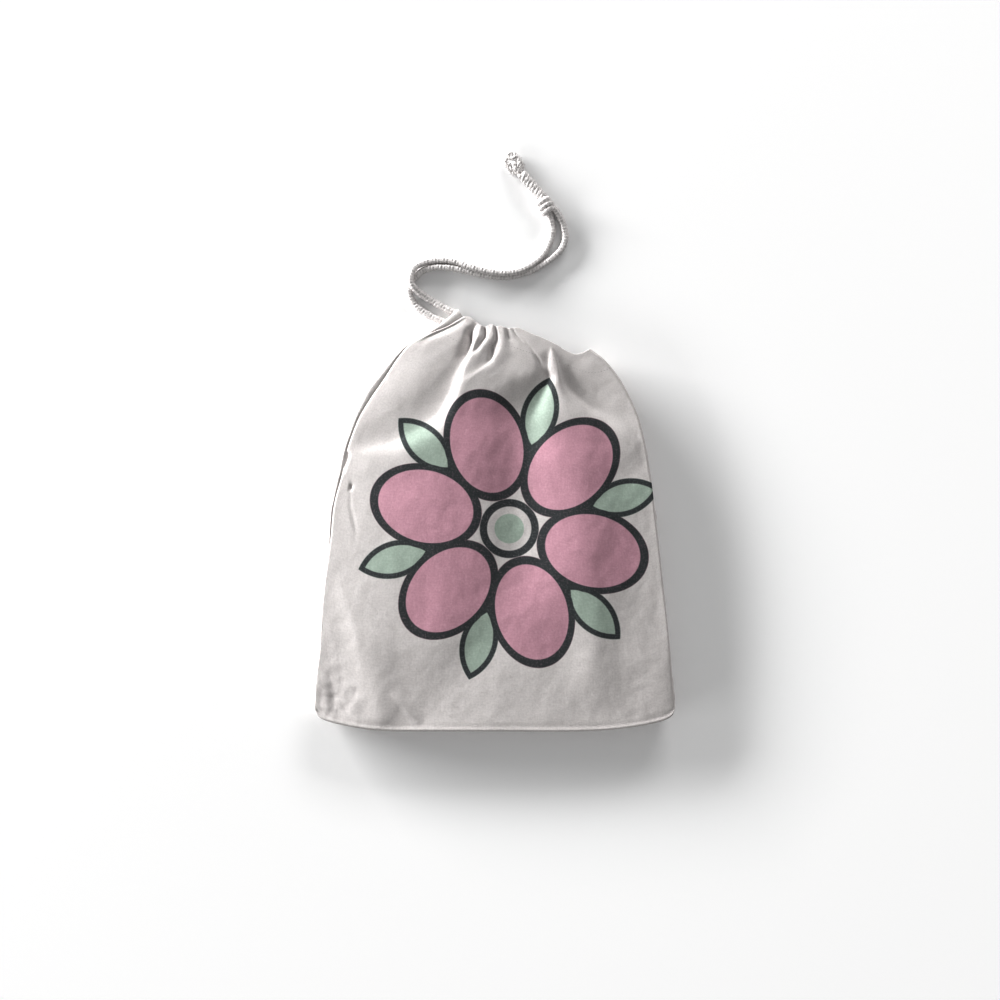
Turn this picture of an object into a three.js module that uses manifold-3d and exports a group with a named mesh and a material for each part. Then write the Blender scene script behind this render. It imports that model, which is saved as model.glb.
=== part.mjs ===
// A cotton drawstring bag lying on a table, seen from above as it fell: two sewn panels, slightly puffed,
// the mouth drawn together at the upper left, and one drawcord knotted and twisted at its free end.
// Millimetres. +Y runs from the bottom seam to the mouth, +Z up from the table, and the origin is on the
// table under the middle of the bag.

import * as THREE from "three";
import { mergeVertices } from "three/addons/utils/BufferGeometryUtils.js";
import Module from "manifold-3d";

const wasm = await Module();
wasm.setup();

// Cloth
const CLOTH_THICKNESS = 1.6;
const HEM_THICKNESS = 2.4; // the mouth's casing is folded double
const HEM_DEPTH = 22;
const HEM_STEP = 2; // half the width of the step at the casing's stitching
const SEAM_GAP = 0.45;
const SEAM_LIP = 4; // how far the front panel lies flat over the back panel's edge
const STEEPEST_COSINE = 0.55; // steeper folds than this aren't thickened further
const MERGE_DISTANCE = 1e-3;

// Drawcord
const CORD_DIAMETER = 4;
const CORD_SIDES = 8;
const CORD_STEP = 2.2 * CORD_DIAMETER;
const TAIL = { steps: 22, sides: 10, turns: 2.4, plyRadius: 2.7, lobe: 0.32 };
const KNOT = { core: [3.6, 5.2, 4.2], turn: 0.5, cordRadius: 1.9, coreSteps: [10, 7], turnSteps: [6, 14] };
const KNOT_TURNS = table("radius flat lean swing x y z", [
  [3.6, 0.95, 0.25, 0, 0.8, 2.4, 0.1],
  [3.7, 0.95, -0.3, 0.5, 0.2, -0.6, 0.2],
  [3.1, 1, 0.35, -0.7, -1, -3.2, 0],
]);
const TUFT = {
  head: [3.6, 3.2, 3.1],
  headSteps: [8, 6],
  facing: 2,
  spread: 2.2,
  strands: 14,
  steps: 4,
  sides: 3,
  length: 11.5,
  shortest: 0.55, // share of the length that the shortest strand has
  longest: 1.05,
  strandRadius: 1.1,
  taper: 0.45,
  curl: 0.9,
  lift: 2.2,
  wander: 2.1,
};

// Grids
const FRONT_COLUMNS = 50;
const FRONT_ROWS = 38;
const MOUTH_COLUMN_PULL = 0.8; // below 1, more columns run to the drawn left end of the mouth
const ROW_CROWDING = 1.45; // above 1, rows lie closer towards the mouth
const SIDE_STEPS = 20;
const BOTTOM_STEPS = 18;
const MOUTH_CURVE_FROM = 0.7; // share of the way up where the back panel's rows start to bow like its mouth

// Outline, seen from above. Height is the seam's own height over the table. Roll is how far the back panel
// bulges out past the seam there, and tuck how far it is drawn in again underneath.
const LEFT_SEAM = table("x y height roll tuck", [
  [-122.5, -128, 4, 0, 0],
  [-121.5, -109, 4.5, 0, 0],
  [-119, -88.5, 5, 0, 0],
  [-117.5, -61.5, 5.5, 0, 0],
  [-114.5, -34, 6.5, 0.6, 0],
  [-111.5, -14, 7.5, 2, 0],
  [-109, 10, 8.5, 2.4, 0],
  [-103.5, 31, 9, 3.2, 0],
  [-100, 47.5, 9, 3, 0],
  [-92.5, 68, 9.5, 3.6, 0],
  [-84, 82.5, 10, 5, 0],
  [-75, 95.5, 10, 4.8, 0],
  [-65.5, 110, 10.5, 3, 0],
  [-57, 119.5, 11, 1.8, 0.5],
  [-44, 126.5, 12, 1.8, 2],
  [-31.5, 131.5, 12, 5, 3],
  [-21.5, 137.5, 12, 7, 3],
]);
const RIGHT_SEAM = table("x y height roll tuck", [
  [122.5, -128, 4, 0, 0],
  [121.5, -116, 4.5, 0, 0],
  [118.5, -82, 5, 0, 0],
  [114.5, -44.5, 6, 0, 0],
  [109.5, 0, 7, 0, 0],
  [104.5, 39, 7.5, 0, 0],
  [99.5, 63.5, 8, 0, 0],
  [94, 78.5, 8, 0, 0],
  [86, 93.5, 8, 0, 0],
  [75, 108, 8.5, 0, 0],
  [65, 115.5, 8.5, 0, 0],
]);
const BOTTOM_SEAM = table("x y height roll tuck", [
  [-122.5, -128, 4, 0, 0],
  [-118.5, -134.5, 4, 0, 0],
  [-102.5, -139.5, 5, 0, 0],
  [-78, -143, 6, 0, 0],
  [-37, -143.5, 6.5, 0, 0],
  [3.5, -143.5, 6.5, 0, 0],
  [58, -143.5, 6, 0, 0],
  [88, -141.5, 5.5, 0, 0],
  [112.5, -137, 4.5, 0, 0],
  [120.5, -133, 4, 0, 0],
  [122.5, -128, 4, 0, 0],
]);
const FRONT_MOUTH = table("x y height", [
  [-21.5, 137.5, 12],
  [-18, 137.5, 12.3],
  [-15.5, 136, 12.6],
  [-11, 132.5, 13],
  [-7, 130.5, 13.3],
  [-2.5, 132, 13.6],
  [1, 130.5, 13.8],
  [3.5, 131, 14],
  [8, 129.5, 14],
  [12, 129.5, 14],
  [16, 129.5, 14],
  [24, 126, 14],
  [33, 122.5, 13.6],
  [42.5, 118, 12.8],
  [50, 113.5, 11.6],
  [55.5, 112, 10.6],
  [61, 113.5, 9.6],
  [65, 115.5, 8.5],
]);
const BACK_MOUTH = table("x y", [
  [-21.5, 137.5],
  [-13.5, 131],
  [-3, 127.5],
  [7, 127.5],
  [17.5, 126.5],
  [27.5, 124.5],
  [36.5, 122.5],
  [44.5, 120.5],
  [54.5, 120],
  [65, 115.5],
]);

// Folds of the front panel. Each row is a station along a fold: its place, how far the fold reaches to its
// left and right as one walks from the first station to the last, and its height, negative for a valley.
const FOLDS = {
  middle_valley: [
    [37, 96.5, 3.5, 7, -4],
    [29.5, 82.5, 5.5, 20.5, -8],
    [17.5, 67, 8, 31.5, -9],
    [10, 47.5, 13.5, 34, -8],
    [6, 13.5, 17.5, 32.5, -6.5],
    [2.5, -17, 20.5, 28.5, -3.5],
    [-3, -54.5, 20.5, 24.5, 0],
  ],
  pinch: [
    [37.5, 118, 2, 2, 3],
    [38.5, 110, 2, 2, 6],
    [39.5, 98.5, 3, 2.5, 7],
    [40, 89.5, 6, 5, 7],
    [40.5, 80, 13.5, 11.5, 7],
    [42, 68, 24.5, 20.5, 6],
    [43, 51, 30, 27, 3.5],
    [44.5, 20, 31.5, 27, 0],
  ],
  right_of_pinch: [
    [47.5, 106, 5, 5, -1],
    [50, 92, 8, 5.5, -4],
    [61, 80, 9.5, 7.5, -4],
    [74.5, 69, 9.5, 8, -2.2],
    [91, 57, 9.5, 8, 0],
  ],
  middle_ridge: [
    [29.5, 64.5, 9.5, 8, 0],
    [27, 40, 11, 9.5, 1.2],
    [34.5, -1.5, 11, 11, 1.5],
    [46, -31, 12, 11, 1],
    [51.5, -68, 12, 12, 0],
  ],
  left_trough: [
    [-12, 133.5, 2, 3.5, -5],
    [-17.5, 121, 3.5, 8, -8],
    [-23.5, 110, 6, 13.5, -7],
    [-33, 95, 9.5, 15, -6],
    [-46.5, 79.5, 10, 15, -6],
    [-64.5, 68.5, 10, 13.5, -5],
    [-83.5, 57, 8, 11, -2],
    [-97, 49.5, 7, 7, 0],
  ],
  diagonal_ridge: [
    [-16.5, 87, 9.5, 13.5, 0],
    [-30.5, 74.5, 8, 22, 2],
    [-44, 59.5, 7.5, 24.5, 3.5],
    [-64.5, 46, 7.5, 26, 3.5],
    [-83.5, 38.5, 7, 22, 2.5],
    [-97, 36.5, 5.5, 13.5, 0],
  ],
  gather_ridge_1: [
    [-10, 131.5, 2.6, 2.6, 2],
    [-14, 122, 2.6, 2.6, 2.4],
    [-19.5, 111.5, 3, 3, 2.2],
    [-25, 103, 3, 3, 0],
  ],
  gather_valley_1: [
    [-7, 131, 2.4, 2.6, -2.4],
    [-9, 121, 2.6, 2.6, -2.4],
    [-14, 112.5, 2.8, 2.8, -1.3],
    [-18, 107, 3, 3, 0],
  ],
  gather_ridge_2: [
    [-3, 131.5, 2.6, 2.6, 2.4],
    [-7, 120, 3, 2.8, 2.6],
    [-16, 108.5, 5, 3.5, 3.5],
    [-24, 98.5, 7, 3.5, 4.5],
    [-28, 89.5, 9.5, 3.5, 4.5],
    [-31.5, 80, 11, 3.5, 2.5],
    [-37, 69, 11, 4, 0],
  ],
  gather_valley_2: [
    [1, 130.5, 2.4, 2.4, -1.6],
    [-0.5, 121, 2.4, 2.6, -3.4],
    [-2.5, 112.5, 2.8, 3, -3.8],
    [-7, 106, 3, 3.5, -2.6],
    [-15.5, 101, 3.5, 3.5, -1.5],
    [-22, 96.5, 3.5, 3.5, 0],
  ],
  gather_ridge_3: [
    [3.5, 131, 3, 2.6, 2],
    [3, 121, 3.8, 2.8, 3.2],
    [1, 111.5, 5.5, 3.2, 3.4],
    [-6, 104, 8, 3.2, 3.2],
    [-16.5, 95, 12, 5, 3],
    [-22, 84, 13.5, 7, 0],
  ],
  hem_crease_1: [
    [8.5, 130.5, 2.2, 2.2, -1.4],
    [10, 123.5, 2.2, 2.2, -1.4],
    [13.5, 117.5, 2.5, 2.4, 0],
  ],
  hem_crease_2: [
    [12, 128.5, 2.2, 2.2, -1],
    [23.5, 116.5, 3.5, 2.2, -1],
    [31.5, 104.5, 4, 2.2, -1.6],
    [34.5, 97.5, 4, 2.4, 0],
  ],
  left_ridge: [
    [-97, -27.5, 9.5, 9.5, 0],
    [-91.5, -61.5, 8, 8, 1],
    [-84.5, -95.5, 7, 8, 1.8],
    [-84, -122.5, 7, 8, 2],
    [-84, -139, 7, 7, 1],
  ],
  lower_valley: [
    [-61.5, -48, 15, 11, 0],
    [-61.5, -82, 15, 11, -1.6],
    [-64.5, -109, 13.5, 9.5, -1.6],
    [-61.5, -131, 12, 9.5, -0.8],
    [-59, -140.5, 9.5, 8, 0],
  ],
  corner_furrow: [
    [-112, -82, 5.5, 4, 0],
    [-111, -109, 5, 3.5, -1.5],
    [-111, -126, 5.5, 4, -2.5],
    [-108, -135.5, 5.5, 4, -1],
  ],
  lower_crease: [
    [-68.5, -116, 2, 2, 0],
    [-63, -124, 1.6, 2, 0.6],
    [-56, -133.5, 1.6, 2, 0.7],
    [-52, -139.5, 2, 2, 0],
  ],
  right_swell: [
    [69, -54.5, 15, 11, 0],
    [67.5, -82, 13.5, 9.5, 1.3],
    [66.5, -109, 13.5, 11, 1.3],
    [65, -139, 13.5, 11, 0],
  ],
};
const FOLD_FADE = 9; // folds die out this close to a seam
const PUFF = {
  height: 17,
  leftReach: 32,
  rightReach: 45,
  bottomReach: 45,
  mouthReach: 40,
  shareAtMouth: 0.42,
  panelLength: 283,
};

// Low waves that the drawn mouth leaves in the back panel: place of the crest at the mouth, where the wave
// runs out, half width and height.
const BACK_WAVES = table("x y endX endY width height", [
  [-8, 130, -26, 84, 6, 3],
  [12, 127.5, 2, 82, 7, 2.4],
  [48, 120.5, 44, 84, 8, 2],
]);

// Roll of the back panel along its seam, from the lip under the front panel, out round the side and under
// to the table. Bulged rows serve where the panel rolls forward, wall rows where it stands under the seam.
const BULGED_ROLL = table("roll inset lift", [
  [0, 5.3, 1],
  [0.1, 2, 1],
  [0.6, 0.9, 1],
  [1, 0.8, 0.74],
  [1, 1.1, 0.42],
  [0.75, 2.6, 0.15],
  [0.2, 6, 0],
]);
const WALL_ROLL = table("roll inset lift", [
  [0, 1, 1],
  [0, 1, 0.86],
  [0, 1.05, 0.68],
  [0, 1.2, 0.46],
  [0, 1.8, 0.25],
  [0, 3.4, 0.08],
  [0, 6.5, 0],
]);
const BULGE_FULL_ROLL = 2.4; // a roll of this width or more has the full bulged shape
const FLOOR_ROWS = [0.2, 0.38, 0.54, 0.68, 0.8, 0.9, 1];
const WAVES_FULL_FROM = 0.4; // share of a floor row from its foot where the low waves reach their height
// The back panel's floor rows run in to a line from here to the mouth
const MIDDLE_LINE_FOOT = { x: 8, y: -80 };

// Routes of the drawcord's two strands, from the casing to the knot
const UPPER_STRAND = [
  [-26.2, 140, 2.1],
  [-36.4, 145.3, 2.1],
  [-42.5, 148.9, 2.1],
  [-49.1, 152.9, 3],
  [-54, 157, 5.7],
  [-56.9, 161.4, 6.9],
  [-56.6, 166.6, 6.6],
  [-54.4, 171.4, 5.3],
  [-49.4, 174.4, 3.4],
  [-42.6, 176.3, 2.3],
  [-33.9, 176.7, 2.2],
  [-25.2, 175.2, 3.4],
  [-16.5, 172.2, 5.4],
  [-7.9, 170, 5.9],
  [0.8, 168.4, 5.9],
  [9.4, 168.2, 5.9],
  [18.6, 170.2, 5.6],
  [26.5, 174.5, 3.9],
  [32.9, 180.2, 2.3],
  [37.3, 187.9, 2.1],
  [39.4, 195.7, 2.1],
  [38.9, 202.4, 2.2],
  [37.7, 207.7, 2.6],
];
const LOWER_STRAND = [
  [-33.2, 134.3, 2.1],
  [-41.6, 137.6, 2.1],
  [-46.6, 140.4, 2.1],
  [-52, 144.4, 2.1],
  [-56.2, 149.6, 2.1],
  [-58, 155.6, 2.1],
  [-56.8, 161.2, 2.1],
  [-53, 166, 2.1],
  [-49, 169.2, 2.1],
  [-44.4, 171.2, 2.1],
  [-38.2, 172, 2.1],
  [-29.6, 171.5, 2.1],
  [-20.9, 169.8, 2.1],
  [-12.2, 167.6, 2.1],
  [-3.5, 166, 2.1],
  [5.6, 165.3, 2.1],
  [14.3, 166.2, 2.1],
  [25.2, 169.4, 2.1],
  [33.8, 174.3, 2.1],
  [40.6, 179.3, 2.1],
  [45.8, 184.9, 2.1],
  [48.1, 191.3, 2.1],
  [47.3, 198.4, 2.1],
  [45.4, 204.2, 2.3],
  [40.7, 211.3, 3.1],
];
const KNOT_AT = [34.9, 213.4, 5.2];
const TAIL_ROUTE = [
  [33, 218.8, 4.3],
  [25.4, 227.6, 3.9],
  [18.4, 235.2, 3.9],
];
const TUFT_AT = [16, 238, 3.3];

const COTTON = { color: 0xd9d4d1, roughness: 0.92, metalness: 0 };
const CORD_COTTON = { color: 0xd3cecb, roughness: 0.88, metalness: 0 };

function table(columns, rows) {
  const names = columns.split(" ");
  return rows.map((row) => Object.fromEntries(names.map((name, i) => [name, row[i]])));
}

// A smooth value between stations, from the two on either side
function between(at, values, t, levelEnds = false) {
  const last = at.length - 1;
  let i = 0;
  while (i < last - 1 && t >= at[i + 1]) i++;
  const slope = (k) => {
    if (k === 0 || k === last) {
      if (levelEnds) return 0;
      const a = k === 0 ? 0 : last - 1;
      return (values[a + 1] - values[a]) / (at[a + 1] - at[a]);
    }
    return (values[k + 1] - values[k - 1]) / (at[k + 1] - at[k - 1]);
  };
  const span = at[i + 1] - at[i];
  const s = (t - at[i]) / span;
  return (
    (2 * s ** 3 - 3 * s ** 2 + 1) * values[i] +
    (s ** 3 - 2 * s ** 2 + s) * span * slope(i) +
    (-2 * s ** 3 + 3 * s ** 2) * values[i + 1] +
    (s ** 3 - s ** 2) * span * slope(i + 1)
  );
}

// A smooth curve through a table's rows, by the fraction of its length
function curveThrough(rows) {
  const names = Object.keys(rows[0]);
  const at = [0];
  for (let i = 1; i < rows.length; i++) {
    at.push(at[i - 1] + Math.hypot(rows[i].x - rows[i - 1].x, rows[i].y - rows[i - 1].y));
  }
  const length = at[at.length - 1];
  const fractions = at.map((a) => a / length);
  const columns = names.map((name) => rows.map((row) => row[name]));
  return (t) => Object.fromEntries(names.map((name, k) => [name, between(fractions, columns[k], t)]));
}

const leftSeam = curveThrough(LEFT_SEAM);
const rightSeam = curveThrough(RIGHT_SEAM);
const bottomSeam = curveThrough(BOTTOM_SEAM);
const frontMouth = curveThrough(FRONT_MOUTH);
const backMouth = curveThrough(BACK_MOUTH);

// Height that one fold adds at a place
function foldHeight(stations, x, y) {
  const first = stations[0];
  const last = stations[stations.length - 1];
  const length = Math.hypot(last[0] - first[0], last[1] - first[1]);
  const dirX = (last[0] - first[0]) / length;
  const dirY = (last[1] - first[1]) / length;
  const alongOf = (px, py) => (px - first[0]) * dirX + (py - first[1]) * dirY;
  const asideOf = (px, py) => dirX * (py - first[1]) - dirY * (px - first[0]);
  const at = stations.map((s) => alongOf(s[0], s[1]));
  const column = (values, t, level) => between(at, values, t, level);
  const along = alongOf(x, y);
  const t = Math.min(Math.max(along, 0), length);
  const aside = asideOf(x, y) - column(stations.map((s) => asideOf(s[0], s[1])), t);
  const left = column(stations.map((s) => s[2]), t);
  const right = column(stations.map((s) => s[3]), t);
  const height = column(stations.map((s) => s[4]), t, true);
  const across = Math.abs(aside) / (aside > 0 ? left : right);
  const past = Math.abs(along - t) / Math.min(left, right);
  return height * Math.exp(-(across ** 2) - past ** 2);
}

function rise(distance, reach) {
  return 1 - Math.exp(-Math.max(distance, 0) / reach);
}

function smoothStep(from, to, value) {
  const t = Math.min(Math.max((value - from) / (to - from), 0), 1);
  return t * t * (3 - 2 * t);
}

// Place in the front panel's outline at a fraction across and a fraction up, with its rim's height
function insideOutline(across, up) {
  const left = leftSeam(up);
  const right = rightSeam(up);
  const bottom = bottomSeam(across);
  const top = frontMouth(across);
  const corners = [leftSeam(0), rightSeam(0), frontMouth(0), frontMouth(1)];
  const blend = (name) =>
    (1 - across) * left[name] +
    across * right[name] +
    (1 - up) * bottom[name] +
    up * top[name] -
    ((1 - across) * (1 - up) * corners[0][name] +
      across * (1 - up) * corners[1][name] +
      (1 - across) * up * corners[2][name] +
      across * up * corners[3][name]);
  return { x: blend("x"), y: blend("y"), rim: blend("height"), width: right.x - left.x };
}

// Height of the front panel's upper face
function frontHeight(across, up, place) {
  const fromLeft = across * place.width;
  const fromRight = (1 - across) * place.width;
  const fromBottom = up * PUFF.panelLength;
  const fromMouth = (1 - up) * PUFF.panelLength;
  const ends =
    rise(fromBottom, PUFF.bottomReach) *
    (PUFF.shareAtMouth + (1 - PUFF.shareAtMouth) * rise(fromMouth, PUFF.mouthReach));
  const sides = rise(fromLeft, PUFF.leftReach) * rise(fromRight, PUFF.rightReach);
  const nearSeam = [fromLeft, fromRight, fromBottom]
    .map((distance) => smoothStep(0, FOLD_FADE, distance))
    .reduce((share, fade) => share * fade);
  let folds = 0;
  for (const stations of Object.values(FOLDS)) folds += foldHeight(stations, place.x, place.y);
  const lip = place.rim + CLOTH_THICKNESS / 2 + SEAM_GAP + CLOTH_THICKNESS;
  return lip + PUFF.height * sides * ends + folds * nearSeam;
}

// Closes a sheet between two grids of points, whose first one faces out in the order given. Its rows' last
// points have a free edge only if sewn is false: otherwise they meet each other and need no wall.
function closedSheet(outer, inner, sewn) {
  const rows = outer.length;
  const columns = outer[0].length;
  const endRow = rows - 1;
  const endColumn = columns - 1;
  const triangles = [];
  const quad = (a, b, c, d) => triangles.push([a, b, c], [a, c, d]);
  for (let i = 0; i < endRow; i++) {
    for (let j = 0; j < endColumn; j++) {
      quad(outer[i][j], outer[i][j + 1], outer[i + 1][j + 1], outer[i + 1][j]);
      quad(inner[i][j], inner[i + 1][j], inner[i + 1][j + 1], inner[i][j + 1]);
    }
    quad(outer[i][0], outer[i + 1][0], inner[i + 1][0], inner[i][0]);
    if (!sewn) {
      quad(inner[i][endColumn], inner[i + 1][endColumn], outer[i + 1][endColumn], outer[i][endColumn]);
    }
  }
  for (let j = 0; j < endColumn; j++) {
    quad(inner[0][j], inner[0][j + 1], outer[0][j + 1], outer[0][j]);
    quad(outer[endRow][j], outer[endRow][j + 1], inner[endRow][j + 1], inner[endRow][j]);
  }
  return solidOfTriangles(triangles);
}

// One closed solid from loose triangles, with the corners that meet made one
function solidOfTriangles(triangles) {
  const positions = new Float32Array(triangles.flat(2));
  const loose = new THREE.BufferGeometry().setAttribute("position", new THREE.BufferAttribute(positions, 3));
  const merged = mergeVertices(loose, MERGE_DISTANCE);
  const corners = merged.index.array;
  const kept = [];
  for (let i = 0; i < corners.length; i += 3) {
    const [a, b, c] = [corners[i], corners[i + 1], corners[i + 2]];
    if (a !== b && b !== c && c !== a) kept.push(a, b, c);
  }
  return merged.setIndex(kept);
}

// A closed skin over rings of points, with a flat end at the first and the last ring
function skinOver(rings) {
  const triangles = [];
  const sides = rings[0].length;
  for (let i = 0; i + 1 < rings.length; i++) {
    for (let k = 0; k < sides; k++) {
      const next = (k + 1) % sides;
      triangles.push([rings[i][k], rings[i][next], rings[i + 1][next]]);
      triangles.push([rings[i][k], rings[i + 1][next], rings[i + 1][k]]);
    }
  }
  const end = rings[rings.length - 1];
  for (let k = 1; k + 1 < sides; k++) {
    triangles.push([rings[0][0], rings[0][k + 1], rings[0][k]]);
    triangles.push([end[0], end[k], end[k + 1]]);
  }
  return solidOfTriangles(triangles);
}

function toSolid(geometry) {
  const bare = new THREE.BufferGeometry().setAttribute("position", geometry.getAttribute("position"));
  if (geometry.index) bare.setIndex(geometry.index);
  const merged = mergeVertices(bare, MERGE_DISTANCE);
  return new wasm.Manifold(
    new wasm.Mesh({
      numProp: 3,
      vertProperties: new Float32Array(merged.attributes.position.array),
      triVerts: new Uint32Array(merged.index.array),
    }),
  );
}

function joined(geometries) {
  const solids = geometries.map(toSolid);
  const mesh = solids.slice(1).reduce((whole, solid) => whole.add(solid), solids[0]).getMesh();
  return new THREE.BufferGeometry()
    .setAttribute("position", new THREE.BufferAttribute(new Float32Array(mesh.vertProperties), 3))
    .setIndex(new THREE.BufferAttribute(new Uint32Array(mesh.triVerts), 1));
}

// Slope of the front panel where it was asked for, from two near places
function frontSlope(across, up, place, z) {
  const probe = 0.002; // share of the panel's width and length between the places
  const beside = [
    [Math.min(across + probe, 1), up],
    [across, Math.min(up + probe, 1)],
  ].map(([a, u]) => {
    const near = insideOutline(a, u);
    const run = Math.hypot(near.x - place.x, near.y - place.y);
    return run > 0 ? (frontHeight(a, u, near) - z) / run : 0;
  });
  return Math.hypot(...beside);
}

function frontPanel() {
  const upper = [];
  const lower = [];
  for (let i = 0; i <= FRONT_ROWS; i++) {
    const up = 1 - (1 - i / FRONT_ROWS) ** ROW_CROWDING;
    const pull = 1 - up * (1 - MOUTH_COLUMN_PULL);
    const row = [];
    for (let j = 0; j <= FRONT_COLUMNS; j++) {
      const across = (j / FRONT_COLUMNS) ** (1 / pull);
      const place = insideOutline(across, up);
      const z = frontHeight(across, up, place);
      const fromMouth = (1 - up) * PUFF.panelLength;
      const inHem = smoothStep(HEM_DEPTH + HEM_STEP, HEM_DEPTH - HEM_STEP, fromMouth);
      const inward = smoothStep(SEAM_LIP, 3 * SEAM_LIP, Math.min(across, 1 - across) * place.width);
      const cloth = CLOTH_THICKNESS + (HEM_THICKNESS - CLOTH_THICKNESS) * inHem * inward;
      const cosine = Math.max(1 / Math.hypot(1, frontSlope(across, up, place, z)), STEEPEST_COSINE);
      row.push({ x: place.x, y: place.y, z, under: z - cloth / (1 - inward + inward * cosine) });
    }
    upper.push(row.map((p) => [p.x, p.y, p.z]));
    lower.push(row.map((p) => [p.x, p.y, p.under]));
  }
  return closedSheet(upper, lower, false);
}

// The seam down the left side, along the bottom and up the right side, with its outward direction
function seamPath() {
  const path = [];
  for (let i = SIDE_STEPS; i >= 0; i--) path.push({ ...leftSeam(i / SIDE_STEPS), up: i / SIDE_STEPS });
  for (let i = 1; i < BOTTOM_STEPS; i++) path.push({ ...bottomSeam(i / BOTTOM_STEPS), up: 0 });
  for (let i = 0; i <= SIDE_STEPS; i++) path.push({ ...rightSeam(i / SIDE_STEPS), up: i / SIDE_STEPS });
  return path.map((point, i) => {
    const before = path[Math.max(i - 1, 0)];
    const after = path[Math.min(i + 1, path.length - 1)];
    const run = Math.hypot(after.x - before.x, after.y - before.y);
    return { ...point, outX: (after.y - before.y) / run, outY: (before.x - after.x) / run };
  });
}

// The back panel's section at one place of the seam: pairs of points on its inner and outer face
function rolledEdge(seam) {
  const half = CLOTH_THICKNESS / 2;
  const bulged = smoothStep(0, BULGE_FULL_ROLL, seam.roll);
  const line = BULGED_ROLL.map((bulge, k) => {
    const wall = WALL_ROLL[k];
    const lift = bulged * bulge.lift + (1 - bulged) * wall.lift;
    const rolledInset = bulge.inset - bulge.roll * seam.roll + seam.tuck * (1 - lift) ** 2;
    return {
      inset: bulged * rolledInset + (1 - bulged) * wall.inset,
      z: half + lift * (seam.height - half * bulged),
    };
  });
  return line.map((point, k) => {
    const before = line[Math.max(k - 1, 0)];
    const after = line[k + 1] ?? { inset: point.inset + 1, z: point.z };
    const flat = k === line.length - 1;
    const run = Math.hypot(after.inset - before.inset, after.z - before.z);
    const inward = flat ? 0 : (before.z - after.z) / run;
    const upward = flat ? 1 : (after.inset - before.inset) / run;
    const face = (side) => [
      seam.x - seam.outX * (point.inset + side * inward * half),
      seam.y - seam.outY * (point.inset + side * inward * half),
      point.z + side * upward * half,
    ];
    return { inner: face(1), outer: face(-1), inset: point.inset };
  });
}

// Height of the low waves that run into the back panel from the drawn mouth
function backWave(x, y) {
  return BACK_WAVES.reduce((height, wave) => {
    const length = Math.hypot(wave.endX - wave.x, wave.endY - wave.y);
    const dirX = (wave.endX - wave.x) / length;
    const dirY = (wave.endY - wave.y) / length;
    const along = ((x - wave.x) * dirX + (y - wave.y) * dirY) / length;
    const aside = dirX * (y - wave.y) - dirY * (x - wave.x);
    return height + wave.height * Math.exp(-((aside / wave.width) ** 2)) * (1 - smoothStep(0, 1, along));
  }, 0);
}

function backPanel() {
  const inner = [];
  const outer = [];
  const mouthMiddle = backMouth(0.5);
  for (const [i, seam] of seamPath().entries()) {
    const edge = rolledEdge(seam);
    const footInset = edge[edge.length - 1].inset;
    const foot = { x: seam.x - seam.outX * footInset, y: seam.y - seam.outY * footInset };
    const middle = {
      x: MIDDLE_LINE_FOOT.x + (mouthMiddle.x - MIDDLE_LINE_FOOT.x) * seam.up,
      y: MIDDLE_LINE_FOOT.y + (mouthMiddle.y - MIDDLE_LINE_FOOT.y) * seam.up,
    };
    const isLeft = i <= SIDE_STEPS;
    const mouthEnd = backMouth(isLeft ? 0 : 1);
    const nearMouth = smoothStep(MOUTH_CURVE_FROM, 1, seam.up);
    const floor = FLOOR_ROWS.map((t) => {
      const mouth = backMouth(isLeft ? t / 2 : 1 - t / 2);
      const bowX = mouth.x - (mouthEnd.x + (mouthMiddle.x - mouthEnd.x) * t);
      const bowY = mouth.y - (mouthEnd.y + (mouthMiddle.y - mouthEnd.y) * t);
      const x = foot.x + (middle.x - foot.x) * t + bowX * nearMouth;
      const y = foot.y + (middle.y - foot.y) * t + bowY * nearMouth;
      const z = backWave(x, y) * smoothStep(0, WAVES_FULL_FROM, t);
      return { inner: [x, y, z + CLOTH_THICKNESS], outer: [x, y, z] };
    });
    inner.push([...edge, ...floor].map((pair) => pair.inner));
    outer.push([...edge, ...floor].map((pair) => pair.outer));
  }
  return closedSheet(outer, inner, true);
}

function routeCurve(points) {
  return new THREE.CatmullRomCurve3(points.map(([x, y, z]) => new THREE.Vector3(x, y, z)), false, "centripetal");
}

function drawcord(points) {
  const curve = routeCurve(points);
  const steps = Math.round(curve.getLength() / CORD_STEP);
  const section = new THREE.Shape(
    Array.from({ length: CORD_SIDES }, (_, k) => {
      const angle = ((k + 0.5) / CORD_SIDES) * 2 * Math.PI;
      return new THREE.Vector2(Math.cos(angle), Math.sin(angle)).multiplyScalar(CORD_DIAMETER / 2);
    }),
  );
  return new THREE.ExtrudeGeometry(section, { steps, extrudePath: curve, bevelEnabled: false });
}

// Knot: an egg-shaped core with the turns of cord lying round it
function cordKnot() {
  const core = new THREE.SphereGeometry(1, ...KNOT.coreSteps).scale(...KNOT.core).rotateZ(KNOT.turn);
  const turns = KNOT_TURNS.map((turn) =>
    new THREE.TorusGeometry(turn.radius, KNOT.cordRadius, ...KNOT.turnSteps)
      .scale(1, turn.flat, 1)
      .rotateX(Math.PI / 2)
      .rotateY(turn.lean)
      .rotateZ(KNOT.turn + turn.swing)
      .translate(turn.x, turn.y, turn.z),
  );
  return joined([core, ...turns]);
}

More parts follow.
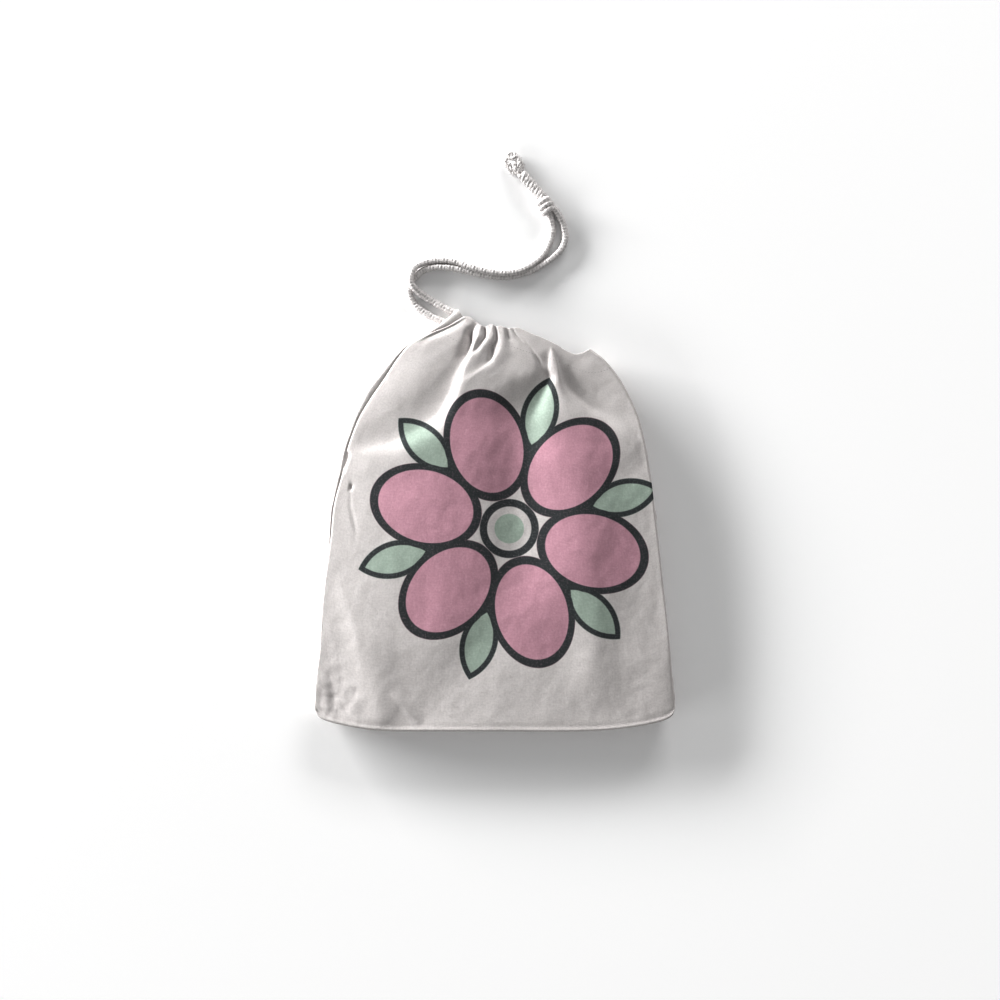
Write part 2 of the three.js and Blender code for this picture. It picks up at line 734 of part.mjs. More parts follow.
// Tail: both ends of the cord twisted round each other, as one two-lobed section that turns as it goes
function cordTail() {
  const curve = routeCurve(TAIL_ROUTE);
  const rings = [];
  for (let i = 0; i <= TAIL.steps; i++) {
    const t = i / TAIL.steps;
    const at = curve.getPointAt(t);
    const along = curve.getTangentAt(t);
    const aside = new THREE.Vector3(-along.y, along.x, 0).normalize();
    const over = new THREE.Vector3().crossVectors(along, aside);
    const turn = t * TAIL.turns * 2 * Math.PI;
    rings.push(
      Array.from({ length: TAIL.sides }, (_, k) => {
        const angle = (k / TAIL.sides) * 2 * Math.PI;
        const reach = TAIL.plyRadius * (1 + TAIL.lobe * Math.cos(2 * (angle - turn)));
        const point = at.clone();
        point.addScaledVector(aside, reach * Math.cos(angle));
        point.addScaledVector(over, reach * Math.sin(angle));
        return point.toArray();
      }),
    );
  }
  return skinOver(rings);
}

// Frayed end: loose strands that fan out and curl from a small head, all resting level on the table
function cordTuft() {
  const head = new THREE.SphereGeometry(1, ...TUFT.headSteps).scale(...TUFT.head).rotateZ(TUFT.facing);
  const strands = Array.from({ length: TUFT.strands }, (_, n) => {
    const share = n / (TUFT.strands - 1);
    const heading = TUFT.facing + (share - 0.5) * TUFT.spread;
    const wander = Math.sin(n * TUFT.wander);
    const middling = 0.5 + 0.5 * Math.cos(n * TUFT.wander * 2);
    const length = TUFT.length * (TUFT.shortest + (TUFT.longest - TUFT.shortest) * middling);
    const rings = Array.from({ length: TUFT.steps + 1 }, (_, i) => {
      const t = i / TUFT.steps;
      const angle = heading + TUFT.curl * wander * t * t;
      const radius = TUFT.strandRadius * (1 - TUFT.taper * t);
      const lift = TUFT.lift * (0.5 + 0.5 * wander) * Math.sin(Math.PI * t);
      const out = length * t;
      const centre = [out * Math.cos(angle), out * Math.sin(angle), lift - (TUFT_AT[2] - radius) * t];
      return Array.from({ length: TUFT.sides }, (_, k) => {
        const around = (k / TUFT.sides) * 2 * Math.PI;
        return [
          centre[0] - radius * Math.cos(around) * Math.sin(angle),
          centre[1] + radius * Math.cos(around) * Math.cos(angle),
          centre[2] + radius * Math.sin(around),
        ];
      });
    });
    return skinOver(rings);
  });
  return joined([head, ...strands]);
}

function piece(name, geometry, material, at = [0, 0, 0]) {
  const mesh = new THREE.Mesh(geometry, new THREE.MeshStandardMaterial({ ...material, name }));
  mesh.name = name;
  mesh.position.set(...at);
  return mesh;
}

const bag = new THREE.Group();
bag.add(
  piece("front_panel", frontPanel(), COTTON),
  piece("back_panel", backPanel(), COTTON),
  piece("drawcord_upper", drawcord(UPPER_STRAND), CORD_COTTON),
  piece("drawcord_lower", drawcord(LOWER_STRAND), CORD_COTTON),
  piece("cord_knot", cordKnot(), CORD_COTTON, KNOT_AT),
  piece("cord_tail", cordTail(), CORD_COTTON),
  piece("cord_tuft", cordTuft(), CORD_COTTON, TUFT_AT),
);

export default bag;
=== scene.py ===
"""Looks of the cotton drawstring bag, on the frame of its solids.

Everything is in metres in the frame of the solids; the tables below are in millimetres. +Y runs from the
bottom seam to the mouth, +Z up from the table, and the origin is on the table under the middle of the bag.
"""

import math

import bpy
import numpy as np
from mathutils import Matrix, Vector, noise


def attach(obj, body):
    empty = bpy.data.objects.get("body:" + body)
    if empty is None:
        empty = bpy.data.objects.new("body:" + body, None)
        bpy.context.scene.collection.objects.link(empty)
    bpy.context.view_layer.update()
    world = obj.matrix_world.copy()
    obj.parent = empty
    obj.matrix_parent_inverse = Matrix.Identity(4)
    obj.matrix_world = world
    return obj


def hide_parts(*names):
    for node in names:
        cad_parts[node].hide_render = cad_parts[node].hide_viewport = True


MM = 0.001

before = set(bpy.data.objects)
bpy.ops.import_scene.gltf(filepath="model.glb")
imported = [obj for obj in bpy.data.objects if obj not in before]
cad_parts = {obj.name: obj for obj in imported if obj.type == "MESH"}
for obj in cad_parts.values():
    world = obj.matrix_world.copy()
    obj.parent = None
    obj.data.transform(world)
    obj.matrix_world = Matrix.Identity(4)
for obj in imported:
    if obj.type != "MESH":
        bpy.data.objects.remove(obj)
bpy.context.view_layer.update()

# Outline of the bag, seen from above. Height is the seam's own height over the table. Roll is how far the
# back panel bulges out past the seam there, and tuck how far it is drawn in again underneath.
# x y height roll tuck
LEFT_SEAM = [
    [-122.5, -128, 10, 0, 0], [-121.5, -109, 9.4, 0, 0], [-119, -88.5, 9, 0, 0], [-117.5, -61.5, 8.8, 0, 0],
    [-114.5, -34, 8.6, 0.6, 0], [-111.5, -14, 9, 2, 0], [-109, 10, 9.5, 2.4, 0], [-103.5, 31, 9.5, 3.2, 0],
    [-100, 47.5, 9.5, 3, 0], [-92.5, 68, 10, 3.6, 0], [-84, 82.5, 10, 5, 0], [-75, 95.5, 10.5, 4.8, 0],
    [-65.5, 110, 10.5, 3, 0], [-57, 119.5, 11, 1.8, 0.5], [-44, 126.5, 12, 1.8, 2],
    [-31.5, 131.5, 12, 5, 3], [-21.5, 137.5, 12, 7, 3],
]

# The panel doesn't bulge out past the other two seams.
# x y height
RIGHT_SEAM = [
    [122.5, -128, 11.4], [121.5, -116, 12], [118.5, -82, 13.6], [114.5, -44.5, 14.5], [109.5, 0, 15],
    [104.5, 39, 14.8], [99.5, 63.5, 14], [94, 78.5, 13.4], [86, 93.5, 13], [75, 108, 13], [65, 115.5, 13],
]

BOTTOM_SEAM = [
    [-122.5, -128, 10], [-118.5, -134.5, 10.4], [-102.5, -139.5, 11.6], [-78, -143, 12.8],
    [-37, -143.5, 13.4], [3.5, -143.5, 13.5], [58, -143.5, 13.4], [88, -141.5, 13], [112.5, -137, 12.3],
    [120.5, -133, 11.7], [122.5, -128, 11.4],
]

FRONT_MOUTH = [
    [-21.5, 137.5, 12], [-18, 137.5, 12.3], [-15.5, 136, 12.6], [-11, 132.5, 13], [-7, 130.5, 13.3],
    [-2.5, 132, 13.6], [1, 130.5, 13.8], [3.5, 131, 14], [8, 129.5, 14], [12, 129.5, 14], [16, 129.5, 14],
    [24, 126, 14], [33, 122.5, 13.9], [42.5, 118, 13.7], [50, 113.5, 13.4], [55.5, 112, 13.1],
    [61, 113.5, 12.9], [65, 115.5, 13],
]

# x y
BACK_MOUTH = [
    [-21.5, 137.5], [-13.5, 131], [-3, 127.5], [7, 127.5], [17.5, 126.5], [27.5, 124.5], [36.5, 122.5],
    [44.5, 120.5], [54.5, 120], [65, 115.5],
]

# Folds of the front panel: stations along each, with how far its sides reach to the left and right of it
# and how high it stands, or how deep it lies where that is below 0
# x y left right height
FOLDS = {
    "middle_valley": [
        [37, 96.5, 3.5, 7, -4], [29.5, 82.5, 5.5, 18, -8], [22, 67, 11, 26, -9], [19.5, 47.5, 19, 25, -8.5],
        [18, 13.5, 22, 25, -7.6], [17, -15, 22, 25, -7], [10, -40, 24, 22, -5.6], [-1, -60, 24, 21, -4.4],
        [-12, -85, 24, 18, -3.2], [-27, -105, 24, 18, -3], [-43, -125, 20, 18, -2.5],
        [-53, -138, 16, 16, -1.6],
    ],
    "pinch": [
        [38.6, 115.5, 0.8, 0.9, 0.6], [39.6, 113, 1, 1.9, 1.7], [41.6, 107.2, 1.4, 3.7, 2.4],
        [43.2, 98.4, 1.8, 4.8, 2.9], [44.4, 92.2, 2.3, 6, 3.1], [46.8, 88, 3, 8, 3.3],
        [52, 81.5, 4.5, 14, 3.8], [57, 74, 7, 22, 4.2], [59, 66, 12, 26, 3.5], [57, 50, 16, 30, 2.6],
        [55, 20, 20, 28, 0.5], [55, 5, 20, 28, 0],
    ],
    "right_of_pinch": [
        [47.5, 106, 5, 5, -0.5], [50, 92, 8, 5.5, -4], [61, 80, 9.5, 7.5, -4], [74.5, 69, 9.5, 8, -2.2],
        [91, 57, 9.5, 8, 0],
    ],
    "middle_ridge": [
        [44, 62, 12, 12, 0], [54, 40, 14, 20, 2], [58, 0, 14, 22, 2.7], [61, -31, 14, 22, 2.8],
        [64, -60, 15, 18, 2.4], [67, -90, 15, 16, 2.2], [68, -118, 14, 14, 1.2], [68, -138, 13, 13, 0],
    ],
    "left_trough": [
        [-13, 131.5, 1.3, 2.6, -1], [-15.2, 127.6, 1.3, 3.4, -2.2], [-15.6, 124.2, 1.3, 4.2, -3],
        [-15.6, 120.8, 1.4, 4.8, -3.3], [-16.6, 117.4, 1.5, 5.4, -3.5], [-17.4, 114, 1.6, 6.2, -3.7],
        [-19.3, 110.6, 1.7, 7.4, -3.9], [-21.8, 106, 1.9, 9, -4.3], [-23.4, 101.5, 2.1, 10.5, -4.8],
        [-25.6, 96.3, 2.8, 12, -5.4], [-31, 86, 4.8, 14, -6.5], [-42.5, 71, 8, 17, -7],
        [-64, 57.5, 8, 18, -5.8], [-83, 51, 6.5, 12, -2.6], [-98, 47, 5, 6, 0],
    ],
    "diagonal_ridge": [
        [-16.5, 87, 9.5, 13.5, 0], [-30.5, 74.5, 12, 18, 1.2], [-44, 59.5, 14, 20, 2],
        [-64.5, 46, 14, 20, 2], [-83.5, 38.5, 12, 18, 1.4], [-97, 36.5, 9, 12, 0],
    ],
    "gather_ridge_1": [
        [-9, 131.2, 1.5, 1.5, 1.2], [-12, 122.8, 1.6, 1.6, 1.6], [-15.6, 116, 1.8, 1.6, 1.4],
        [-20.2, 109.9, 2.4, 2, 0.6], [-26, 105, 3, 2.5, 0],
    ],
    "gather_valley_1": [
        [-6.8, 130.5, 1.3, 1, -2.3], [-6.6, 124.2, 1.3, 1, -2.4], [-9.6, 119.4, 1.4, 1.1, -1.9],
        [-12.6, 114.7, 1.6, 1.2, -1], [-17, 110.6, 2, 2, 0],
    ],
    "gather_ridge_2": [
        [-0.6, 132, 2.5, 1.4, 1], [-3.8, 124.4, 4, 1.4, 1.5], [-8.2, 118.4, 6, 1.5, 1.8],
        [-14.8, 111.6, 8, 1.7, 1.9], [-21.6, 102.4, 10, 1.9, 1.9], [-25.3, 96.3, 11, 2.1, 1.7],
        [-30.8, 79.3, 11, 2.6, 0.8], [-36.5, 70, 11, 4, 0],
    ],
    "gather_valley_2": [
        [0.4, 131.5, 1.2, 1, -0.8], [1.2, 126, 1.2, 1, -1.8], [0.9, 121, 1.3, 1.1, -2],
        [-1.2, 117, 1.4, 1.2, -2.4], [-1.9, 113.5, 1.5, 1.2, -2.6], [-2.4, 110, 1.6, 1.3, -1.7],
        [-4, 106, 2, 2, -0.6], [-9, 102.5, 2.5, 2.5, 0],
    ],
    "gather_ridge_3": [
        [6.2, 131.2, 2.6, 3.4, 1], [5.6, 124.4, 4, 3, 1.3], [5, 116.9, 5.5, 2.4, 1.6],
        [1.4, 110.1, 7.5, 2, 1.7], [-4.4, 104, 9.5, 2, 1.6], [-13, 98, 10, 2.2, 1.3],
        [-21, 92.2, 11, 3, 0.8], [-29, 84.8, 11, 4, 0],
    ],
    "hem_crease_1": [
        [8.2, 130, 1.1, 0.8, -1], [9, 124, 1.2, 0.8, -1.2], [11.5, 120, 1.3, 1.1, 0],
    ],
    "hem_crease_2": [
        [12.4, 129.5, 1.1, 0.9, -0.6], [15.3, 124.4, 1.1, 0.9, -0.7], [20.7, 119.1, 1.2, 0.9, -0.6],
        [25.3, 114.7, 1.3, 1, -0.7], [28.9, 109.2, 1.4, 1, -1], [32.1, 102.4, 1.6, 1.2, -0.6],
        [34, 98, 2, 2, 0],
    ],
    "left_ridge": [
        [-99, -30, 12, 7, 0], [-94, -61.5, 13, 7, 1.2], [-84.5, -95.5, 13, 6.5, 2.2],
        [-79.5, -122.5, 13, 6.5, 3], [-76, -139, 12, 6.5, 2.4],
    ],
    "lower_valley": [
        [-61.5, -48, 15, 11, 0], [-61.5, -82, 15, 11, -0.6], [-64.5, -109, 13.5, 9.5, -0.6],
        [-61.5, -131, 12, 9.5, -0.4], [-59, -140.5, 9.5, 8, 0],
    ],
    "corner_furrow": [
        [-111, -98, 8, 4, 0], [-110, -106, 9, 4, -1.2], [-108.6, -120, 9, 4.5, -1.8],
        [-106, -130, 9, 5, -1.6], [-103, -137, 8, 5, -0.8],
    ],
    "lower_crease": [
        [-71, -115.5, 4, 1.8, 0], [-67, -120.6, 5, 1.7, 0.9], [-64, -124, 5, 1.7, 1.4],
        [-57.5, -131, 5, 1.7, 1.5], [-52, -137.5, 4, 1.7, 1], [-50, -140, 3, 1.7, 0],
    ],
    "pinch_brim": [
        [42.5, 97, 1.2, 3, 0], [45.7, 89.7, 1.8, 6, 0.4], [53.2, 81.4, 2.8, 11, 0.9],
        [62.2, 73.2, 3.6, 15, 1.6], [70.4, 67.1, 5, 17, 2.4], [81, 59, 7, 18, 3], [92, 48, 9, 16, 2.2],
        [102, 36, 9, 12, 0],
    ],
    "right_step": [
        [68, 55, 12, 22, 0], [70, 35, 16, 26, 1.6], [72, 0, 18, 28, 2.6], [74, -30, 18, 26, 2.4],
        [76, -60, 16, 22, 1.6], [76, -90, 12, 16, 0],
    ],
    "belly_edge": [
        [-48, -50, 24, 20, 0], [-34, -55, 28, 22, 1.5], [0, -58, 30, 22, 2.2], [34, -58, 30, 22, 1.8],
        [58, -54, 26, 20, 0],
    ],
    "right_swell": [
        [69, -54.5, 15, 11, 0], [67.5, -82, 13.5, 9.5, 0.7], [66.5, -109, 13.5, 11, 0.7],
        [65, -139, 13.5, 11, 0],
    ],
}

# Waves of the back panel: from, to, width and height
BACK_WAVES = [
    [-8, 130, -26, 84, 6, 3], [12, 127.5, 2, 82, 7, 2.4], [53, 113, 48, 88, 13, 9],
]

# Routes of the cord's middle line: x y z
UPPER_STRAND = [
    [-26.2, 140, 2.1], [-36.4, 145.3, 2.1], [-42.5, 148.9, 2.1], [-49.1, 152.9, 3], [-54, 157, 5.1],
    [-56.9, 161.4, 6], [-56.6, 166.6, 5.7], [-54.4, 171.4, 4.4], [-49.4, 174.4, 3], [-42.6, 176.3, 2.3],
    [-33.9, 176.7, 2.2], [-25.2, 175.2, 2.6], [-16.5, 172.2, 3.9], [-7.9, 170, 4.3], [0.8, 168.4, 4.7],
    [9.4, 168.2, 4.8], [18.6, 170.2, 4.5], [26.5, 174.5, 3], [32.9, 180.2, 2.3], [37.3, 187.9, 2.1],
    [39.4, 195.7, 2.1], [38.9, 202.4, 2.2], [37.7, 207.7, 2.6], [36.3, 211, 3.8],
]

LOWER_STRAND = [
    [-33.2, 134.3, 2.1], [-41.6, 137.6, 2.1], [-46.6, 140.4, 2.1], [-52, 144.4, 2.1], [-56.2, 149.6, 2.1],
    [-58, 155.6, 2.1], [-56.8, 161.2, 2.1], [-53, 166, 2.1], [-49, 169.2, 2.1], [-44.4, 171.2, 2.1],
    [-38.2, 172, 2.1], [-29.6, 171.5, 2.1], [-20.9, 169.8, 2.1], [-12.2, 167.6, 2.1], [-3.5, 166, 2.1],
    [5.6, 165.3, 2.1], [14.3, 166.2, 2.1], [25.2, 169.4, 2.1], [33.8, 174.3, 2.1], [40.6, 179.3, 2.1],
    [45.8, 184.9, 2.1], [48.1, 191.3, 2.1], [47.3, 198.4, 2.1], [45.4, 204.2, 2.3], [40.7, 211.3, 3.1],
    [37, 213.4, 4.4],
]

TAIL_ROUTE = [
    [33, 218.8, 4.3], [25.4, 227.6, 3.9], [18.4, 235.2, 3.9],
]

# Finer creases of the front panel, in the same way
CREASES = {
    "first_gather": [
        [-12.6, 131.5, 1.1, 2, -0.4], [-15, 127.6, 1.1, 3, -1.4], [-15.6, 124.2, 1.1, 3.8, -2.6],
        [-15.6, 120.8, 1.2, 4.2, -2.8], [-16.8, 117.4, 1.3, 4.6, -2.5], [-18.3, 113, 1.5, 5, -1.7],
        [-21, 108.5, 2, 5, -0.8], [-25.5, 104, 3, 5, 0],
    ],
    "corner_line": [
        [-20.6, 135.6, 2.2, 1.1, -0.5], [-26.8, 132, 2.4, 1.1, -1.2], [-33.8, 128.7, 2.4, 1.1, -1.3],
        [-41.5, 125.4, 2.2, 1, -1.1], [-49, 121, 2, 1.2, -0.3],
    ],
    "pinch_foot": [
        [35.2, 116, 0.8, 4, 0], [35.8, 111.5, 1.1, 6.5, -0.45], [36, 106, 1.2, 7, -1],
        [36.4, 98.4, 1.3, 7, -1.1], [36.6, 91, 1.6, 6, 0],
    ],
    "seam_notch": [
        [-99.6, 48, 1, 1.2, 0], [-100.2, 44, 1.6, 2.2, -3.8], [-101.4, 37, 1.1, 1.6, -2.2],
        [-102.6, 29, 1, 1, 0],
    ],
    "hooked_crease": [
        [-98.5, 26.5, 1, 1, 0], [-97, 22.8, 0.9, 1.3, -1.7], [-98.6, 20, 1.1, 1, -0.8],
        [-100.4, 20.6, 1, 1, 0],
    ],
    "side_crease": [
        [-97.5, 19, 1, 1, -0.1], [-97.6, 10, 0.9, 1.2, -0.45], [-94.2, -4.3, 1, 1.4, -0.4],
        [-92, -12, 1, 1, 0],
    ],
    "lower_left_line": [
        [-110, -25, 2.5, 4, 0], [-104, -47, 3.2, 5, 0.35], [-97, -68, 3.5, 5.5, 0.5], [-92, -95, 4, 6, 0.6],
        [-87.5, -122, 4, 6, 0.4], [-86, -136, 4, 5, 0],
    ],
    "lower_line": [
        [-67.3, -118.3, 1.3, 1.8, 0], [-60, -128.5, 1.3, 1.8, 0.22], [-53.4, -138, 1.3, 1.8, 0],
    ],
}


def eased(s, start, leave, end, reach):
    """The smooth way from start to end that leaves and reaches them at given slopes."""
    return (
        (2 * s**3 - 3 * s**2 + 1) * start
        + (s**3 - 2 * s**2 + s) * leave
        + (-2 * s**3 + 3 * s**2) * end
        + (s**3 - s**2) * reach
    )


def between(at, values, t, level_ends=False):
    """A smooth value between stations, from the two on either side."""
    at, values, t = np.asarray(at, float), np.asarray(values, float), np.asarray(t, float)
    slope = np.empty(len(at))
    slope[1:-1] = (values[2:] - values[:-2]) / (at[2:] - at[:-2])
    slope[0] = (values[1] - values[0]) / (at[1] - at[0])
    slope[-1] = (values[-1] - values[-2]) / (at[-1] - at[-2])
    if level_ends:
        slope[0] = slope[-1] = 0
    i = np.clip(np.searchsorted(at, t, side="right") - 1, 0, len(at) - 2)
    span = at[i + 1] - at[i]
    return eased((t - at[i]) / span, values[i], span * slope[i], values[i + 1], span * slope[i + 1])


def curve_through(rows):
    """A smooth curve through a table's rows, by the fraction of its length: gives one array a column."""
    rows = np.array(rows, float)
    at = np.concatenate([[0], np.cumsum(np.hypot(*np.diff(rows[:, :2], axis=0).T))])
    at /= at[-1]
    return lambda t: [between(at, column, t) for column in rows.T]


def rise(distance, reach, late=1):
    """0 at an edge, towards 1 away from it."""
    return 1 - np.exp(-((np.maximum(distance, 0) / reach) ** late))


def smooth_step(start, end, value):
    """0 up to start and 1 from end, smooth between."""
    t = np.clip((value - start) / (end - start), 0, 1)
    return t * t * (3 - 2 * t)


left_seam = curve_through(LEFT_SEAM)
right_seam = curve_through([[*row, 0, 0] for row in RIGHT_SEAM])
bottom_seam = curve_through([[*row, 0, 0] for row in BOTTOM_SEAM])
front_mouth = curve_through(FRONT_MOUTH)
back_mouth = curve_through(BACK_MOUTH)

# Share of a fold's height in its table that the cloth shows, and the share in the gathers' narrow slits
FOLD_DEPTH, SLIT_DEPTH = 0.58, 0.9
SLITS = {"gather_valley_1", "gather_valley_2", "hem_crease_1", "hem_crease_2"}

# A fold's section is a rounded crest, or a flatter one with steeper sides where it has a higher power here
FLATTER_CREST = {"pinch": 3}
ROUND_CREST = 2

NOISE_TO_ONE = 1.6  # brings Blender's noise to about 1 at its highest


def fold_height(stations, x, y, power=ROUND_CREST):
    """Height that one fold adds at a place."""
    rows = np.array(stations, float)
    chord = rows[-1, :2] - rows[0, :2]
    length = math.hypot(*chord)
    dir_x, dir_y = chord / length

    def along_of(place_x, place_y):
        return (place_x - rows[0, 0]) * dir_x + (place_y - rows[0, 1]) * dir_y

    def aside_of(place_x, place_y):
        return dir_x * (place_y - rows[0, 1]) - dir_y * (place_x - rows[0, 0])

    at = along_of(rows[:, 0], rows[:, 1])
    along = along_of(x, y)
    t = np.clip(along, 0, length)
    aside = aside_of(x, y) - between(at, aside_of(rows[:, 0], rows[:, 1]), t)
    left = between(at, rows[:, 2], t)
    right = between(at, rows[:, 3], t)
    height = between(at, rows[:, 4], t, level_ends=True)
    across = np.abs(aside) / np.where(aside > 0, left, right)
    past = np.abs(along - t) / np.minimum(left, right)
    return height * np.exp(-(across**power) - past**2)


def cloth_noise(x, y, size, seed):
    """Smooth unevenness between about -1 and 1."""
    flat_x, flat_y = np.broadcast_arrays(x, y)
    values = [
        noise.noise(Vector((a / size, b / size, seed))) for a, b in zip(flat_x.ravel(), flat_y.ravel())
    ]
    return np.reshape(values, flat_x.shape) * NOISE_TO_ONE


def unevenness(rows, x, y):
    """Height that several sizes of noise add: each row is a height, a size and a seed."""
    return sum(height * cloth_noise(x, y, size, seed) for height, size, seed in rows)


def bell(distance, reach):
    """1 in the middle of a rounded rise, falling to 0 round it."""
    return np.exp(-((distance / reach) ** 2))


def mesh_piece(name, points, faces, flat_place=None):
    """An object from points in millimetres, smooth, with the cloth's own flat places as its UV map."""
    mesh = bpy.data.meshes.new(name)
    mesh.from_pydata((np.reshape(points, (-1, 3)) * MM).tolist(), [], faces)
    mesh.polygons.foreach_set("use_smooth", [True] * len(mesh.polygons))
    if flat_place is not None:
        corners = np.empty(len(mesh.loops), int)
        mesh.loops.foreach_get("vertex_index", corners)
        layer = mesh.uv_layers.new(name="cloth")
        layer.data.foreach_set("uv", (np.reshape(flat_place, (-1, 2))[corners] * MM).ravel())
    piece = bpy.data.objects.new(name, mesh)
    bpy.context.collection.objects.link(piece)
    return piece


def grid_faces(rows, columns, closed=False, first=0):
    """Quads over a grid of points, closed into rings if asked."""
    i, j = np.meshgrid(np.arange(rows - 1), np.arange(columns if closed else columns - 1), indexing="ij")
    i, j = i.ravel(), j.ravel()
    k = (j + 1) % columns
    quads = np.stack([i * columns + j, i * columns + k, (i + 1) * columns + k, (i + 1) * columns + j], 1)
    return (quads + first).tolist()


# Share of the way over which the crowding of rows eases off at either end
CROWDED_AT_START, CROWDED_AT_END = 0.06, 0.16


def crowded(steps, share_start, share_end):
    """Fractions from 0 to 1, closer together towards the ends: a share below 1 is the spacing there."""
    s = np.linspace(0, 1, steps + 1)
    near_start = (1 - share_start) * np.exp(-s / CROWDED_AT_START)
    near_end = (1 - share_end) * np.exp(-(1 - s) / CROWDED_AT_END)
    pace = 1 - near_start - near_end
    total = np.concatenate([[0], np.cumsum((pace[1:] + pace[:-1]) / 2)])
    return total / total[-1]


FLAT_WIDTH, FLAT_LENGTH = 250, 300
CLOTH_LIFT = 2.85  # from the seam's own height to the front panel's upper face, as in the solids
# The bag's puff and how far in from each edge it takes to rise
PUFF = {"height": 13, "left": 48, "right": 140, "bottom": 125, "mouth": 45, "at_mouth": 0.5}
# How late the puff rises from the right and bottom seams, and from the left one below its rolled part:
# 1 rises at once
LATE_RISE, LATE_AT_LEFT = 1.35, 1.55
ROLLED_FROM, ROLLED_FULLY = 35, 75
PANEL_LENGTH = 283
FOLD_FADE = 9
FRONT_COLUMNS, FRONT_ROWS = 230, 240
COLUMN_SHARES, ROW_SHARES = (0.35, 0.35), (0.35, 0.28)
# Roll at which the back panel stands out fully past the seam
BULGE_FULL_ROLL = 2.4
# How the front panel's face turns down at each seam, over which distance
# edge drop reach
EDGE_TURN = {"left": (1.6, 1.6), "rolled": (1.1, 1.8), "right": (1.5, 2.0), "bottom": (1.2, 1.0)}
# The turned allowance inside the bottom seam shows as a low ridge with a groove beside it
# place height reach
SEAM_RELIEF = [[0.9, 0.22, 1.3], [3.4, -0.14, 1.6]]
# Unevenness of the cloth away from its seams, and all over
# height size seed
UNEVEN = [[0.26, 22, 1.5], [0.1, 7, 4.5]]
UNEVEN_ALL_OVER = [[0.03, 3.4, 6.5]]
CRUMPLED = [[0.5, 7, 3.3], [0.2, 3.4, 5.1]]
# The crumpled lower left corner: x y reach
CRUMPLED_CORNER = (-110, -122, 18)
# Small puckers along the sewn edges, most of them at the left
PUCKER = {"height": 0.13, "pace": 1.05, "sway": 3.0, "reach": 3.5, "starts": 1.2, "not_left": 0.35}
PUCKER_SWAY, PUCKER_SHARE = (16, 7.5), (13, 2.2)
# Width of the casing, and its stitch line: thread in dashes, with painted shade darkening the needle's
# holes between them
CASING = 22
STITCH = {"pitch": 4.2, "half_width": 0.45, "core": 0.4, "dark": 0.3, "dash_from": 0.38, "dash_full": 0.28}
# The cloth's turn at the mouth, in degrees at each row, and the rows of its inner layer
HEM_RADIUS = 0.55
HEM_TURN = [30, 60, 90, 120, 150, 180]
HEM_INNER_ROWS, HEM_ROW_STEP = 8, 3


def inside_outline(across, up):
    """Place in the front panel's outline at a fraction across and up, with its rim's height and width."""
    left, right, bottom, top = left_seam(up), right_seam(up), bottom_seam(across), front_mouth(across)
    corners = [left_seam(0.0), right_seam(0.0), front_mouth(0.0), front_mouth(1.0)]
    blend = [
        (1 - across) * left[k]
        + across * right[k]
        + (1 - up) * bottom[k]
        + up * top[k]
        - (
            (1 - across) * (1 - up) * corners[0][k]
            + across * (1 - up) * corners[1][k]
            + (1 - across) * up * corners[2][k]
            + across * up * corners[3][k]
        )
        for k in range(3)
    ]
    return (*blend, right[0] - left[0], left[3])


def front_surface(across, up):
    """Places on the upper face of the front panel, in millimetres."""
    x, y, rim, width, roll = inside_outline(across, up)
    from_left, from_right = across * width, (1 - across) * width
    from_bottom, from_mouth = up * PANEL_LENGTH, (1 - up) * PANEL_LENGTH
    ends = rise(from_bottom, PUFF["bottom"], LATE_RISE) * (
        PUFF["at_mouth"] + (1 - PUFF["at_mouth"]) * rise(from_mouth, PUFF["mouth"])
    )
    late_left = LATE_AT_LEFT - (LATE_AT_LEFT - 1) * smooth_step(ROLLED_FROM, ROLLED_FULLY, y)
    sides = rise(from_left, PUFF["left"], late_left) * rise(from_right, PUFF["right"], LATE_RISE)
    near_seam = (
        smooth_step(0, FOLD_FADE, from_left)
        * smooth_step(0, FOLD_FADE, from_right)
        * smooth_step(0, FOLD_FADE, from_bottom)
    )
    folds = sum(
        (SLIT_DEPTH if name in SLITS else FOLD_DEPTH)
        * fold_height(rows, x, y, FLATTER_CREST.get(name, ROUND_CREST))
        for name, rows in FOLDS.items()
    )
    creases = sum(fold_height(stations, x, y) for stations in CREASES.values())
    z = rim + CLOTH_LIFT + PUFF["height"] * sides * ends + folds * near_seam + creases
    z += unevenness(UNEVEN, x, y) * near_seam + unevenness(UNEVEN_ALL_OVER, x, y)
    # The edge turns down into the seam, more so where the back panel rolls forward.
    bulged = smooth_step(0, BULGE_FULL_ROLL, roll)
    for distance, side in ((from_left, "left"), (from_right, "right"), (from_bottom, "bottom")):
        drop, reach = EDGE_TURN[side]
        if side == "left":
            drop = drop + (EDGE_TURN["rolled"][0] - drop) * bulged
            reach = reach + (EDGE_TURN["rolled"][1] - reach) * bulged
        inward = np.clip(distance / reach, 0, 1)
        z = z - drop * (1 - np.sqrt(1 - (1 - inward) ** 2))
    z = z + sum(height * bell(from_bottom - place, reach) for place, height, reach in SEAM_RELIEF)
    # Puckers run square to the nearest seam.
    along_seam = np.where(from_bottom < np.minimum(from_left, from_right), x, y)
    nearest = np.minimum(np.minimum(from_left, from_right), from_bottom)
    turn = along_seam * PUCKER["pace"] + PUCKER["sway"] * cloth_noise(x, y, *PUCKER_SWAY)
    share = np.where(from_left <= nearest, 1, PUCKER["not_left"]) * cloth_noise(x, y, *PUCKER_SHARE)
    share = share * smooth_step(0, PUCKER["starts"], nearest) * np.exp(-nearest / PUCKER["reach"])
    z = z + PUCKER["height"] * np.sin(turn) * share
    corner_x, corner_y, reach = CRUMPLED_CORNER
    z = z + bell(np.hypot(x - corner_x, y - corner_y), reach) * unevenness(CRUMPLED, x, y)
    return np.stack([x, y, z], -1)


